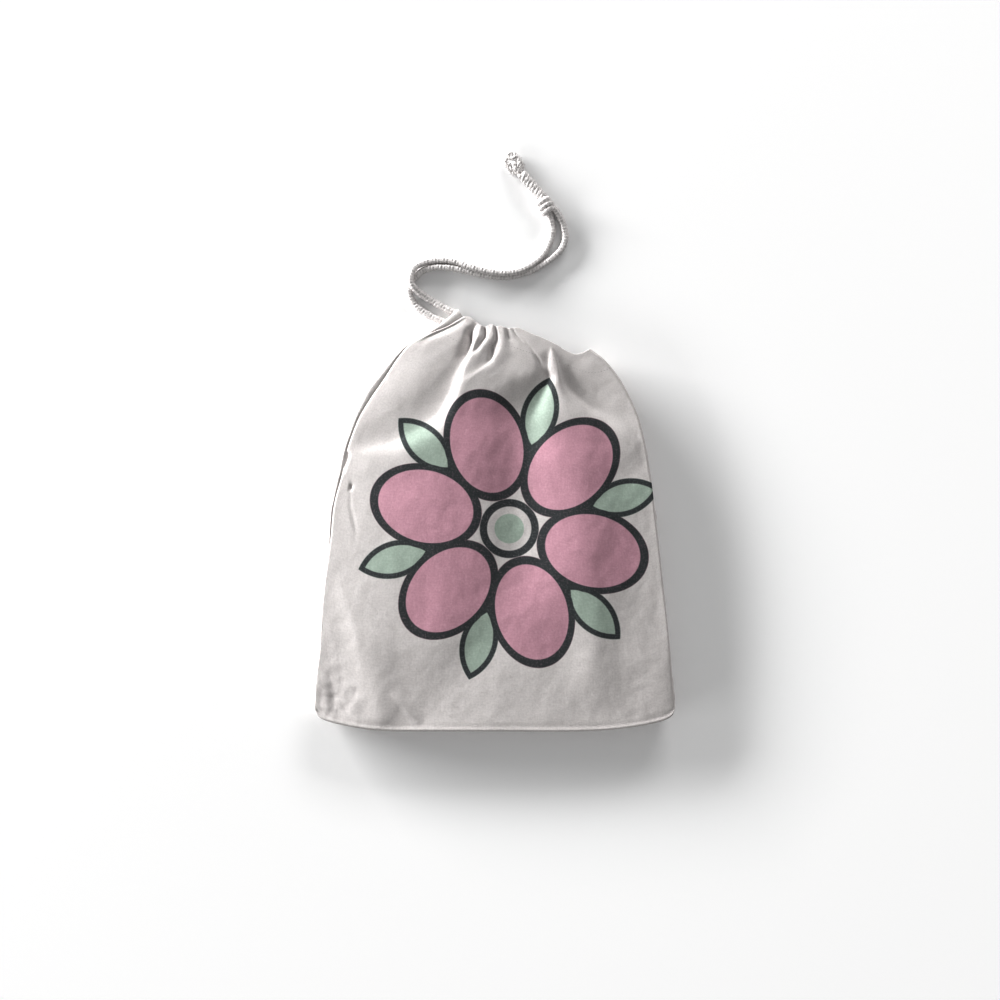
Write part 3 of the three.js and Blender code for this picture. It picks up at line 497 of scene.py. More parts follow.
def front_panel():
    """The panel that faces up: its upper face, the turn at the mouth and the casing's inner layer."""
    across, up = np.meshgrid(crowded(FRONT_COLUMNS, *COLUMN_SHARES), crowded(FRONT_ROWS, *ROW_SHARES))
    points = front_surface(across, up)
    # At the casing the cloth turns over a small radius and runs back inside.
    edge, before = points[-1], points[-3]
    out = edge - before
    out[:, 2] = 0
    out /= np.linalg.norm(out, axis=1, keepdims=True)
    down = np.array([0, 0, -1.0])
    turned = [
        edge + HEM_RADIUS * (out * math.sin(angle) + down * (1 - math.cos(angle)))
        for angle in np.radians(HEM_TURN)
    ]
    rows_back = [
        np.searchsorted(-up[::-1, 0], -(1 - row * HEM_ROW_STEP / PANEL_LENGTH))
        for row in range(1, HEM_INNER_ROWS + 1)
    ]
    inner = [points[-1 - row] + down * 2 * HEM_RADIUS for row in rows_back]
    all_rows = np.concatenate([points, np.array(turned + inner)])
    past_edge = np.arange(1, len(turned) + len(inner) + 1)
    flat_up = np.concatenate([up[:, 0] * FLAT_LENGTH, FLAT_LENGTH + past_edge])
    flat = np.stack(np.broadcast_arrays(across[0] * FLAT_WIDTH, flat_up[:, None]), -1)
    return mesh_piece("front_cloth", all_rows, grid_faces(len(all_rows), all_rows.shape[1]), flat)


# Roll of the back panel along its seam, from the lip under the front panel, out round the side and under to
# the table. Bulged rows serve where the panel rolls forward, wall rows where it stands under the seam.
# roll inset lift
BULGED_ROLL = [
    [0, 3.5, 1.0], [0.05, 0.5, 1.035], [0.3, 0.3, 1.06], [0.55, 0.3, 1.07], [0.82, 0.3, 1.03],
    [0.97, 0.4, 0.86], [1, 0.9, 0.5], [0.75, 2.6, 0.16], [0.2, 6, 0],
]
WALL_ROLL = [
    [0, 3, 1], [0, 0.9, 1], [0, 0.25, 0.93], [0, 0.4, 0.83], [0, 1, 0.69], [0, 2.2, 0.5], [0, 4.4, 0.28],
    [0, 8, 0.08], [0, 13, 0],
]
# Wrinkles round the rolled part and puckers in the wall: height, size and seed; and the rows of the roll
# over which they come and go
ROLL_WRINKLE, WALL_PUCKER = (0.25, 7, 2.5), (0.9, 9, 6.1)
ROLL_WRINKLES_ROUND, WALL_PUCKERS_ROUND = 9, 2
WRINKLES_COME, PUCKERS_COME, PUCKERS_GO = (0, 2), (1, 3), (8, 6)
# How far the back panel's edge stands above the seam, and how much of that is lost where it bulges
LIP, LIP_LOST = 0.8, 0.4
TABLE_GAP = 0.05
WAVES_FULL_AT = 0.4
SIDE_STEPS, BOTTOM_STEPS, ROLL_STEPS, FLOOR_STEPS = 170, 130, 30, 22
# The back panel's two halves meet along a line from here to the middle of its mouth. Its rows bend to the
# mouth's curve from this share of its height.
MIDDLE_LINE_FOOT = (8, -80)
MOUTH_CURVE_FROM = 0.7


def seam_path():
    """The seam down the left side, along the bottom and up the right side, with its outward direction."""
    up = np.linspace(0, 1, SIDE_STEPS + 1)

    def side(seam, t):
        return np.stack([*seam(t), t], 1)

    along = np.linspace(0, 1, BOTTOM_STEPS + 1)[1:-1]
    path = np.concatenate(
        [
            side(left_seam, up[::-1]),
            np.stack([*bottom_seam(along), np.zeros(len(along))], 1),
            side(right_seam, up),
        ]
    )
    run = np.gradient(path[:, :2], axis=0)
    run /= np.linalg.norm(run, axis=1, keepdims=True)
    return path, np.stack([run[:, 1], -run[:, 0]], 1)


def back_wave(x, y):
    """Height of the low waves that run into the back panel from the drawn mouth."""
    height = 0
    for wave_x, wave_y, end_x, end_y, width, crest in BACK_WAVES:
        length = math.hypot(end_x - wave_x, end_y - wave_y)
        dir_x, dir_y = (end_x - wave_x) / length, (end_y - wave_y) / length
        along = ((x - wave_x) * dir_x + (y - wave_y) * dir_y) / length
        aside = dir_x * (y - wave_y) - dir_y * (x - wave_x)
        height = height + crest * bell(aside, width) * (1 - smooth_step(0, 1, along))
    return height


def back_panel():
    """The panel on the table, rolled up round the sides to the seam."""
    path, out = seam_path()
    x, y, height, roll, tuck, up = path.T[:, :, None]
    at = np.arange(len(BULGED_ROLL))
    t = np.linspace(0, at[-1], ROLL_STEPS + 1)
    bulge = [between(at, column, t)[None] for column in np.array(BULGED_ROLL, float).T]
    wall = [between(at, column, t)[None] for column in np.array(WALL_ROLL, float).T]
    bulged = smooth_step(0, BULGE_FULL_ROLL, roll)
    lift = bulged * bulge[2] + (1 - bulged) * wall[2]
    rolled_inset = bulge[1] - bulge[0] * roll + tuck * (1 - lift) ** 2
    inset = bulged * rolled_inset + (1 - bulged) * wall[1]
    height_of, size, seed = ROLL_WRINKLE
    wrinkle = height_of * cloth_noise(y, ROLL_WRINKLES_ROUND * t / at[-1], size, seed)
    wrinkle = wrinkle * bulged * smooth_step(*WRINKLES_COME, t)
    height_of, size, seed = WALL_PUCKER
    pucker = height_of * cloth_noise(x + y, WALL_PUCKERS_ROUND * t, size, seed)
    pucker = pucker * (1 - bulged) * smooth_step(*PUCKERS_COME, t) * smooth_step(*PUCKERS_GO, t)
    edge = path[:, None, :2] - out[:, None] * (inset + wrinkle + pucker)[..., None]
    edge_z = np.maximum(lift, 0) * (height + LIP * (1 - LIP_LOST * bulged)) + TABLE_GAP
    share = np.linspace(0, 1, FLOOR_STEPS + 1)[None, 1:]
    along = share[..., None]
    mouth_middle = np.array(back_mouth(0.5))
    middle = MIDDLE_LINE_FOOT + (mouth_middle - MIDDLE_LINE_FOOT) * up[..., None]
    is_left = (np.arange(len(path)) <= SIDE_STEPS)[:, None]
    mouth = np.stack(back_mouth(np.where(is_left, share / 2, 1 - share / 2)), -1)
    end = np.where(is_left[..., None], back_mouth(0.0), back_mouth(1.0))
    bow = mouth - (end + (mouth_middle - end) * along)
    near_mouth = smooth_step(MOUTH_CURVE_FROM, 1, up)[..., None]
    floor_place = edge[:, -1:] + (middle - edge[:, -1:]) * along + bow * near_mouth
    waves = back_wave(floor_place[..., 0], floor_place[..., 1])
    floor_z = waves * smooth_step(0, WAVES_FULL_AT, share) + TABLE_GAP
    points = np.concatenate([np.dstack([edge, edge_z]), np.dstack([floor_place, floor_z])], 1)
    # The weave follows the cloth: round the edge it goes on outward from where the panel meets the table.
    steps = np.linalg.norm(np.diff(points[:, : ROLL_STEPS + 1], axis=1), axis=2)
    unrolled = np.concatenate([np.cumsum(steps[:, ::-1], 1)[:, ::-1], 0 * steps[:, :1]], 1)
    flat = points[..., :2].copy()
    flat[:, : ROLL_STEPS + 1] = flat[:, ROLL_STEPS : ROLL_STEPS + 1] + out[:, None] * unrolled[..., None]
    flat += [[[FLAT_WIDTH / 2, FLAT_LENGTH / 2]]]
    return mesh_piece("back_cloth", points, grid_faces(*points.shape[:2]), flat)


CORD, CORD_STEP = 4.0, 0.45
# How many flat sides stand for each round section
CORD_SIDES, KNOT_SIDES, CORE_SIDES, TAIL_SIDES = 24, 18, 16, 20
YARN_SIDES, FIBRE_SIDES, FUZZ_SIDES = 12, 4, 3
BRAID = {"lobes": 3, "pitch": 3.9, "depth": 0.12}
# A strand's thickness as a share of the cord's, and its swells: share, pace along it, turns round it
SWELL = 1.07
SWELLS = [[0.03, 0.9, 0], [0.05, 2.3, 2]]
# The knot's middle, the way it points, and how the cord winds round it, closer at both ends
KNOT_AT, KNOT_AXIS = (34.9, 213.4, 5.0), (-0.556, 0.831)
KNOT = {"turns": 2.7, "length": 9.2, "wide": 3.8, "high": 3.1, "sway": 1.0, "sway_from": 0.6, "radius": 1.9}
KNOT_DRAWN_IN, KNOT_DRAWN_OVER, KNOT_STEPS, KNOT_FIBRES = 0.55, 0.06, 240, 260
# The cord inside the windings
CORE = {"half": 4.2, "radius": 2.6, "ridge": 0.1, "ridges": 3, "step": 0.8}
TAIL = {"turns": 4.2, "apart": 1.6, "radius": 1.9, "fibres": 110}
TAIL_BRAID = {"lobes": 3, "pitch": 4.6, "depth": 0.2}
# Yarn ends of the frayed tuft, each a short curl from the tail's end
YARN_ENDS = [
    [[17.5, 236.6, 3.5], [17.2, 240.5, 3.8], [16.2, 245.0, 3.2], [13.6, 248.9, 2.6], [10.6, 249.9, 2.2],
     [9.2, 247.8, 2.2], [10.6, 245.9, 2.8], [13.2, 246.2, 3.6], [14.6, 248.0, 3.4]],
    [[16.6, 236.4, 2.6], [12.4, 238.4, 2.4], [8.8, 240.6, 1.9], [7.4, 243.6, 1.6], [8.6, 246.2, 1.5]],
    [[17.6, 236.8, 3.0], [19.0, 240.0, 2.6], [18.6, 242.8, 1.9], [17.0, 243.8, 1.6]],
    [[16.8, 236.8, 4.2], [14.0, 239.4, 4.8], [12.6, 242.2, 4.0], [14.4, 243.8, 3.0]],
    [[16.2, 235.8, 2.2], [12.8, 235.9, 1.6], [10.4, 237.6, 1.4], [9.6, 239.4, 1.4]],
    [[16.9, 237.4, 3.6], [15.6, 241.4, 3.9], [12.0, 243.0, 3.4], [9.6, 242.0, 2.6]],
]
YARN = {"radius": 1.2, "thinner": 0.35, "flat": 0.16, "twist": 2.6, "step": 0.35}
FIBRES = {"count": 320, "radius": 0.09, "length": 3.6, "shortest": 0.35, "bend": 2.4, "seed": 5}
FIBRE_ROOT_STEP, FIBRE_CLIMB, FIBRE_POINTS, FUZZ_POINTS = 1.2, (-0.3, 0.4), 9, 4
FUZZ = {"per_mm": 7, "radius": 0.07, "length": 1.3, "shortest": 0.4, "curl": 0.6, "seed": 8}
FUZZ_OUT, FUZZ_ROOT = (0.25, 1), 0.9
ROUTE_STEPS = 24
NEARLY_UPRIGHT = 0.1


def route_places(points, step):
    """Evenly spaced places along the smooth route through the points."""
    p = np.array(points, float)
    p = np.concatenate([[2 * p[0] - p[1]], p, [2 * p[-1] - p[-2]]])
    s = np.linspace(0, 1, ROUTE_STEPS, endpoint=False)[:, None]
    spans = []
    for before, start, end, after in zip(p, p[1:], p[2:], p[3:]):
        gaps = [math.sqrt(np.linalg.norm(b - a)) for a, b in ((before, start), (start, end), (end, after))]
        leave = (start - before) / gaps[0] - (end - before) / (gaps[0] + gaps[1]) + (end - start) / gaps[1]
        reach = (end - start) / gaps[1] - (after - start) / (gaps[1] + gaps[2]) + (after - end) / gaps[2]
        spans.append(eased(s, start, leave * gaps[1], end, reach * gaps[1]))
    fine = np.concatenate([*spans, p[-2:-1]])
    at = np.concatenate([[0], np.cumsum(np.linalg.norm(np.diff(fine, axis=0), axis=1))])
    want = np.linspace(0, at[-1], round(at[-1] / step) + 1)
    return np.stack([np.interp(want, at, fine[:, k]) for k in range(3)], 1)


def carried_frame(centres):
    """Two directions square to a route that don't twist as they go along it."""
    along = np.gradient(centres, axis=0)
    along /= np.linalg.norm(along, axis=1, keepdims=True)
    aside = np.cross([0, 0, 1.0], along[0])
    if np.linalg.norm(aside) < NEARLY_UPRIGHT:
        aside = np.array([1.0, 0, 0])
    asides = []
    for direction in along:
        aside = aside - direction * (aside @ direction)
        aside /= np.linalg.norm(aside)
        asides.append(aside)
    asides = np.array(asides)
    return asides, np.cross(along, asides)


def braid(distance, angle, radius, lobes, pitch, depth):
    """Radius of a round braid at a distance along it and an angle round it."""
    turn = 2 * math.pi * distance / pitch
    return radius * (1 + depth * np.cos(lobes * angle + turn) * np.cos(lobes * angle - turn))


def tube(centres, sides, radius_at):
    """Points and faces of a tube along a route, with both ends closed."""
    aside, over = carried_frame(centres)
    distance = np.concatenate([[0], np.cumsum(np.linalg.norm(np.diff(centres, axis=0), axis=1))])
    angle = np.linspace(0, 2 * math.pi, sides, endpoint=False)
    radius = radius_at(distance[:, None], angle[None])
    relief = (radius / np.median(radius)).ravel()
    radius = radius[..., None]
    round_it = np.cos(angle)[None, :, None] * aside[:, None] + np.sin(angle)[None, :, None] * over[:, None]
    points = (centres[:, None] + radius * round_it).reshape(-1, 3)
    last = len(points) - sides
    faces = grid_faces(len(centres), sides, closed=True)
    faces += [list(range(sides))[::-1], list(range(last, last + sides))]
    return points, faces, relief


def even(radius):
    """The radius of a plain round tube."""
    return lambda distance, angle: radius + 0 * distance * angle


def braided(radius, pattern):
    """The radius of a plain braided tube."""
    return lambda distance, angle: braid(distance, angle, radius, **pattern)


def joined_tubes(name, tubes):
    """One piece from several tubes."""
    points, faces, reliefs, first = [], [], [], 0
    for tube_points, tube_faces, relief in tubes:
        points.append(tube_points)
        reliefs.append(relief)
        faces += [[corner + first for corner in face] for face in tube_faces]
        first += len(tube_points)
    piece = mesh_piece(name, np.concatenate(points), faces)
    # Each point's relief, which the cord's material turns into painted shade in the hollows
    piece.data.attributes.new("relief", "FLOAT", "POINT").data.foreach_set("value", np.concatenate(reliefs))
    return piece


def fuzz(places, radius, random, count):
    """Short loose fibres standing off a cord's surface round its route."""
    aside, over = carried_frame(places)
    tubes = []
    for i in random.integers(1, len(places) - 1, count):
        turn = random.uniform(0, 2 * math.pi)
        out = aside[i] * math.cos(turn) + over[i] * math.sin(turn)
        along = (places[i + 1] - places[i - 1]) / np.linalg.norm(places[i + 1] - places[i - 1])
        heading = out * random.uniform(*FUZZ_OUT) + along * random.uniform(-1, 1)
        t = np.linspace(0, 1, FUZZ_POINTS)[:, None]
        length = FUZZ["length"] * random.uniform(FUZZ["shortest"], 1)
        curl = random.uniform(-FUZZ["curl"], FUZZ["curl"])
        centres = places[i] + out * radius * FUZZ_ROOT + heading * t * length + along * (t**2) * curl
        centres[:, 2] = np.maximum(centres[:, 2], FUZZ["radius"])
        tubes.append(tube(centres, FUZZ_SIDES, even(FUZZ["radius"])))
    return tubes


def strand(name, points):
    """One free strand of the drawcord, with its braid."""
    centres = route_places(points, CORD_STEP)
    wander = np.random.default_rng(len(name)).uniform(0, 6)

    def radius_at(distance, angle):
        swell = SWELL
        for share, pace, round_it in SWELLS:
            swell = swell + share * np.sin(distance * pace + round_it * angle + wander)
        return braid(distance, angle, CORD / 2, **BRAID) * swell

    random = np.random.default_rng(FUZZ["seed"])
    fibres = fuzz(centres, CORD / 2, random, round(FUZZ["per_mm"] * CORD_STEP * len(centres)))
    return joined_tubes(name, [tube(centres, CORD_SIDES, radius_at), *fibres]), centres


def knot():
    """The knot: the cord wound round itself, each turn drawn down into the next."""
    axis = np.array([*KNOT_AXIS, 0.0])
    side = np.array([axis[1], -axis[0], 0.0])
    up = np.array([0, 0, 1.0])
    turn = np.linspace(0, KNOT["turns"] * 2 * math.pi, KNOT_STEPS)[:, None]
    share = turn / turn[-1]
    at_ends = np.exp(-share / KNOT_DRAWN_OVER) + np.exp(-(1 - share) / KNOT_DRAWN_OVER)
    drawn_in = 1 - KNOT_DRAWN_IN * at_ends
    sway = KNOT["sway"] * np.sin(turn + KNOT["sway_from"])
    centres = (
        np.array(KNOT_AT)
        + axis * ((share - 0.5) * KNOT["length"] + sway)
        + side * KNOT["wide"] * drawn_in * np.cos(turn)
        + up * KNOT["high"] * drawn_in * np.sin(turn)
    )
    wound = tube(centres, KNOT_SIDES, braided(KNOT["radius"], BRAID))
    core = [np.array(KNOT_AT) + axis * end for end in (-CORE["half"], 0, CORE["half"])]

    def core_radius(distance, angle):
        return CORE["radius"] + 0 * distance + CORE["ridge"] * np.cos(CORE["ridges"] * angle)

    middle = tube(route_places(core, CORE["step"]), CORE_SIDES, core_radius)
    random = np.random.default_rng(FUZZ["seed"])
    return joined_tubes("knot", [wound, middle, *fuzz(centres, KNOT["radius"], random, KNOT_FIBRES)])


def tail():
    """Both ends of the cord beyond the knot, twisted round each other."""
    centres = route_places(TAIL_ROUTE, CORD_STEP)
    aside, over = carried_frame(centres)
    turn = np.linspace(0, TAIL["turns"] * 2 * math.pi, len(centres))[:, None]
    plies = []
    for start in (0, math.pi):
        ply = centres + TAIL["apart"] * (aside * np.cos(turn + start) + over * np.sin(turn + start))
        plies.append(tube(ply, TAIL_SIDES, braided(TAIL["radius"], TAIL_BRAID)))
        plies += fuzz(ply, TAIL["radius"], np.random.default_rng(FUZZ["seed"]), TAIL["fibres"])
    return joined_tubes("tail", plies)


def yarn_radius(length):
    """A yarn end that thins to its tip and is a little flat."""

    def radius_at(distance, angle):
        thin = 1 - YARN["thinner"] * (distance / length) ** 2
        return YARN["radius"] * thin * (1 + YARN["flat"] * np.cos(2 * angle - distance * YARN["twist"]))

    return radius_at


def tuft():
    """The frayed end: short curled yarn ends and loose fibres."""
    tubes = []
    for points in YARN_ENDS:
        centres = route_places(points, YARN["step"])
        tubes.append(tube(centres, YARN_SIDES, yarn_radius(YARN["step"] * len(centres))))
    random = np.random.default_rng(FIBRES["seed"])
    places = np.concatenate([route_places(points, FIBRE_ROOT_STEP) for points in YARN_ENDS])
    t = np.linspace(0, 1, FIBRE_POINTS)
    for start in places[random.integers(0, len(places), FIBRES["count"])]:
        heading = random.uniform(0, 2 * math.pi)
        bend = random.uniform(-FIBRES["bend"], FIBRES["bend"])
        climb = random.uniform(*FIBRE_CLIMB)
        length = FIBRES["length"] * random.uniform(FIBRES["shortest"], 1)
        angle = heading + bend * t
        step = length / len(t)
        x = np.cumsum(np.cos(angle)) * step
        y = np.cumsum(np.sin(angle)) * step
        z = np.maximum(start[2] + climb * length * t, FIBRES["radius"] + TABLE_GAP)
        centres = np.stack([start[0] + x, start[1] + y, z], 1)
        tubes.append(tube(centres, FIBRE_SIDES, even(FIBRES["radius"])))
    return joined_tubes("tuft", tubes)


# Places of a colour Mix node's own sockets
MIX_FIRST, MIX_SECOND, MIX_RESULT = 6, 7, 2


class Tree:
    """Short ways to add and join nodes in a shader or group tree."""

    def __init__(self, tree):
        self.tree = tree

    def add(self, kind, inputs=None, **settings):
        node = self.tree.nodes.new(kind)
        for name, value in settings.items():
            setattr(node, name, value)
        for name, value in (inputs or {}).items():
            self.feed(node.inputs[name], value)
        return node

    def feed(self, socket, value):
        if isinstance(value, bpy.types.NodeSocket):
            self.tree.links.new(value, socket)
        else:
            socket.default_value = value

    def maths(self, operation, *values):
        node = self.add("ShaderNodeMath", operation=operation)
        for socket, value in zip(node.inputs, values):
            self.feed(socket, value)
        return node.outputs[0]

    def vector(self, operation, *values, **named):
        node = self.add("ShaderNodeVectorMath", operation=operation)
        for socket, value in zip(node.inputs, values):
            self.feed(socket, value)
        for name, value in named.items():
            self.feed(node.inputs[name], value)
        return node.outputs["Vector"]

    def mix(self, factor, first, second, blend="MIX"):
        node = self.add("ShaderNodeMix", data_type="RGBA", blend_type=blend)
        self.feed(node.inputs["Factor"], factor)
        self.feed(node.inputs[MIX_FIRST], first)
        self.feed(node.inputs[MIX_SECOND], second)
        return node.outputs[MIX_RESULT]

    def toned(self, colour, tone):
        """A colour made lighter or darker by a tone."""
        grey = self.add("ShaderNodeCombineColor", {"Red": tone, "Green": tone, "Blue": tone}).outputs[0]
        return self.mix(1.0, colour, grey, blend="MULTIPLY")

    def weighed(self, *terms):
        """The sum of values, each times its weight."""
        total = None
        for value, weight in terms:
            part = self.maths("MULTIPLY", value, weight)
            total = part if total is None else self.maths("ADD", total, part)
        return total

    def length(self, a, b):
        """Length of the long side of a right angle."""
        squares = self.maths("ADD", self.maths("MULTIPLY", a, a), self.maths("MULTIPLY", b, b))
        return self.maths("SQRT", squares)

    def step(self, value, start, end):
        """0 below start and 1 above end, smooth between."""
        node = self.add("ShaderNodeMapRange", interpolation_type="SMOOTHSTEP")
        for name, given in (("Value", value), ("From Min", start), ("From Max", end)):
            self.feed(node.inputs[name], given)
        return node.outputs["Result"]

    def noise(self, place, scale, detail=2.0, roughness=0.5):
        return self.add(
            "ShaderNodeTexNoise",
            {"Vector": place, "Scale": scale, "Detail": detail, "Roughness": roughness},
        ).outputs["Fac"]


def group(name, inputs, outputs):
    """A node group with named sockets: gives the tree, its input node and its output node."""
    tree = bpy.data.node_groups.new(name, "ShaderNodeTree")
    for label, kind in inputs:
        tree.interface.new_socket(name=label, in_out="INPUT", socket_type=kind)
    for label, kind in outputs:
        tree.interface.new_socket(name=label, in_out="OUTPUT", socket_type=kind)
    made = Tree(tree)
    return made, made.add("NodeGroupInput"), made.add("NodeGroupOutput")


FLOAT, VECTOR = "NodeSocketFloat", "NodeSocketVector"
THREADS_PER_METRE = 1700
# Noise that bends the threads, makes them thick and thin, and makes lumps: features a metre of cloth
BEND_NOISE, BEND_REACH = {"Scale": 220.0, "Detail": 1.0}, 0.0006
THICKNESS = {"across": 1100.0, "along": 150.0, "detail": 3.0}
LUMPS = {"scale": 640.0, "detail": 4.0, "roughness": 0.65}
# Shares of the plain weave, the threads' thickness and the lumps in the height and in the flecks
HEIGHT_SHARES = {"weave": 0.35, "threads": 0.9, "lumps": 0.8}
FLECK_SHARES = {"threads": 0.3, "lumps": 0.9}
FLECK_FROM, FLECK_FULL = 0.55, 0.95


def woven_cotton():
    """Plain weave with uneven threads: its height and its light and dark flecks."""
    made, given, wanted = group("Woven cotton", [("Place", VECTOR)], [("Height", FLOAT), ("Fleck", FLOAT)])
    place = given.outputs["Place"]
    bend = made.add("ShaderNodeTexNoise", {"Vector": place, **BEND_NOISE})
    bent = made.vector("ADD", place, made.vector("SCALE", bend.outputs["Color"], Scale=BEND_REACH))
    split = made.add("ShaderNodeSeparateXYZ", {"Vector": bent})
    waves = []
    for axis in ("X", "Y"):
        turn = made.maths("MULTIPLY", split.outputs[axis], THREADS_PER_METRE * 2 * math.pi)
        waves.append(made.maths("SINE", turn))
    over = made.maths("MULTIPLY", *waves)
    across, along = THICKNESS["across"], THICKNESS["along"]
    thick = [
        made.noise(made.vector("MULTIPLY", place, scale), 1.0, THICKNESS["detail"])
        for scale in ((across, along, 1.0), (along, across, 1.0))
    ]
    threads = made.maths("ADD", *thick)
    lumps = made.noise(place, *LUMPS.values())
    height = made.weighed(*zip((over, threads, lumps), HEIGHT_SHARES.values()))
    fleck = made.weighed(*zip((threads, lumps), FLECK_SHARES.values()))
    made.feed(wanted.inputs["Height"], height)
    made.feed(wanted.inputs["Fleck"], made.step(fleck, FLECK_FROM, FLECK_FULL))
    return made.tree


ROSETTE = {"centre": (10.0, -6.0), "radius": 100.0, "petals": 6, "turn": 0.26}
# Measures as shares of the rosette's radius
PETAL = {"at": 0.585, "long": 0.385, "wide": 0.285}
LEAF = {"at": 0.8, "arc": 0.33, "offset": 0.205}
DISC, DISC_RIM = 0.2, 0.1
LINE, LEAF_LINE, INK_EDGE = 0.05, 0.035, 0.004  # widths of the lines, and how softly ink ends


def rosette():
    """A printed rosette drawn by compass: round petals, pointed leaves between them, a ringed centre."""
    outputs = [("Petal", FLOAT), ("Leaf", FLOAT), ("Line", FLOAT)]
    made, given, wanted = group("Rosette", [("Place", VECTOR)], outputs)
    centre = [c * MM for c in ROSETTE["centre"]]
    moved = made.vector("SUBTRACT", given.outputs["Place"], (*centre, 0))
    scaled = made.vector("SCALE", moved, Scale=1 / (ROSETTE["radius"] * MM))
    split = made.add("ShaderNodeSeparateXYZ", {"Vector": scaled})
    x, y = split.outputs["X"], split.outputs["Y"]
    reach = made.length(x, y)
    heading = made.maths("ADD", made.maths("ARCTAN2", y, x), ROSETTE["turn"])
    half = math.pi / ROSETTE["petals"]

    def folded(offset):
        """Place beside the nearest axis: along it and away from it."""
        wrapped = made.maths("WRAP", made.maths("ADD", heading, offset), -half, half)
        beside = made.maths("ABSOLUTE", wrapped)
        return [made.maths("MULTIPLY", reach, made.maths(part, beside)) for part in ("COSINE", "SINE")]

    def oval(place, at, long, wide):
        """Roughly the distance outside an oval on the axis."""
        along, away = place
        a = made.maths("DIVIDE", made.maths("SUBTRACT", along, at), long)
        b = made.maths("DIVIDE", away, wide)
        return made.maths("MULTIPLY", made.maths("SUBTRACT", made.length(a, b), 1.0), (long + wide) / 2)

    def lens(place, at, arc, offset):
        """Distance outside a pointed leaf bounded by two arcs."""
        along, away = place
        size = made.length(made.maths("SUBTRACT", along, at), made.maths("ADD", away, offset))
        return made.maths("SUBTRACT", size, arc)

    def inside(distance, depth=0.0):
        return made.step(made.maths("ADD", distance, depth), INK_EDGE, -INK_EDGE)

    def outline(distance, width):
        """The line just inside a shape's edge."""
        return made.maths("SUBTRACT", inside(distance), inside(distance, width))

    petal = oval(folded(0.0), **PETAL)
    leaf = lens(folded(half), **LEAF)
    disc = made.maths("SUBTRACT", reach, DISC)
    ring = outline(disc, LINE)
    line = made.maths("MAXIMUM", outline(petal, LINE), outline(leaf, LEAF_LINE))
    off_disc = made.maths("SUBTRACT", 1.0, inside(disc))
    made.feed(wanted.inputs["Petal"], made.maths("MULTIPLY", inside(petal), off_disc))
    made.feed(wanted.inputs["Leaf"], made.maths("MAXIMUM", inside(leaf), inside(disc, DISC_RIM)))
    made.feed(wanted.inputs["Line"], made.maths("MAXIMUM", made.maths("MULTIPLY", line, off_disc), ring))
    return made.tree


COTTON = (0.66, 0.635, 0.625, 1)
PINK = (0.6, 0.385, 0.445, 1)
MINT = (0.44, 0.51, 0.455, 1)
CHARCOAL = (0.085, 0.092, 0.096, 1)
# Colour of the painted shade in the stitches' needle holes
STITCH_HOLE_SHADE = (0.12, 0.115, 0.11, 1)
CORD_COTTON = (0.74, 0.72, 0.712, 1)
PAPER = (0.985, 0.985, 0.99, 1), (1.0, 1.0, 1.0, 1)
# Tone of the cloth: its broad noise's features a metre, and the shares that make it up
CLOTH_TONE = {"broad_scale": 28.0, "fleck": 0.12, "broad": 0.06, "least": 0.91}
# Fleck at which the print would be worn away, and up to which it is whole
WORN = (3.0, 0.42)
CORD_FIBRES = {"scale": 1500.0, "detail": 3.0, "roughness": 0.6}
CORD_TONE = {"broad_scale": 180.0, "fibres": 0.3, "broad": 0.16, "least": 0.84}
# Painted shade in the braid's hollows: how much darker they are, and the relief between which they lighten
HOLLOW_SHADE = {"dark": 0.26, "lowest": 0.84, "highest": 1.04}
CLOTH_FINISH = {"Roughness": 0.92, "Specular IOR Level": 0.25, "Sheen Weight": 0.08, "Sheen Roughness": 0.5}
CORD_FINISH = {"Roughness": 0.88, "Specular IOR Level": 0.25, "Sheen Weight": 0.15}
PAPER_FINISH = {"Roughness": 1.0, "Specular IOR Level": 0.0}
CLOTH_BUMP = {"Strength": 0.5, "Distance": 0.00022}
CORD_BUMP = {"Strength": 0.6, "Distance": 0.0003}
PAPER_NOISE, PAPER_TONE = 3.0, (-3.0, 1.0)


def begun_material(name, finish):
    """A material with its even values set: gives it, its tree and its shader."""
    material = bpy.data.materials.new(name)
    material.use_nodes = True
    shader = material.node_tree.nodes["Principled BSDF"]
    for socket, value in finish.items():
        shader.inputs[socket].default_value = value
    return material, Tree(material.node_tree), shader


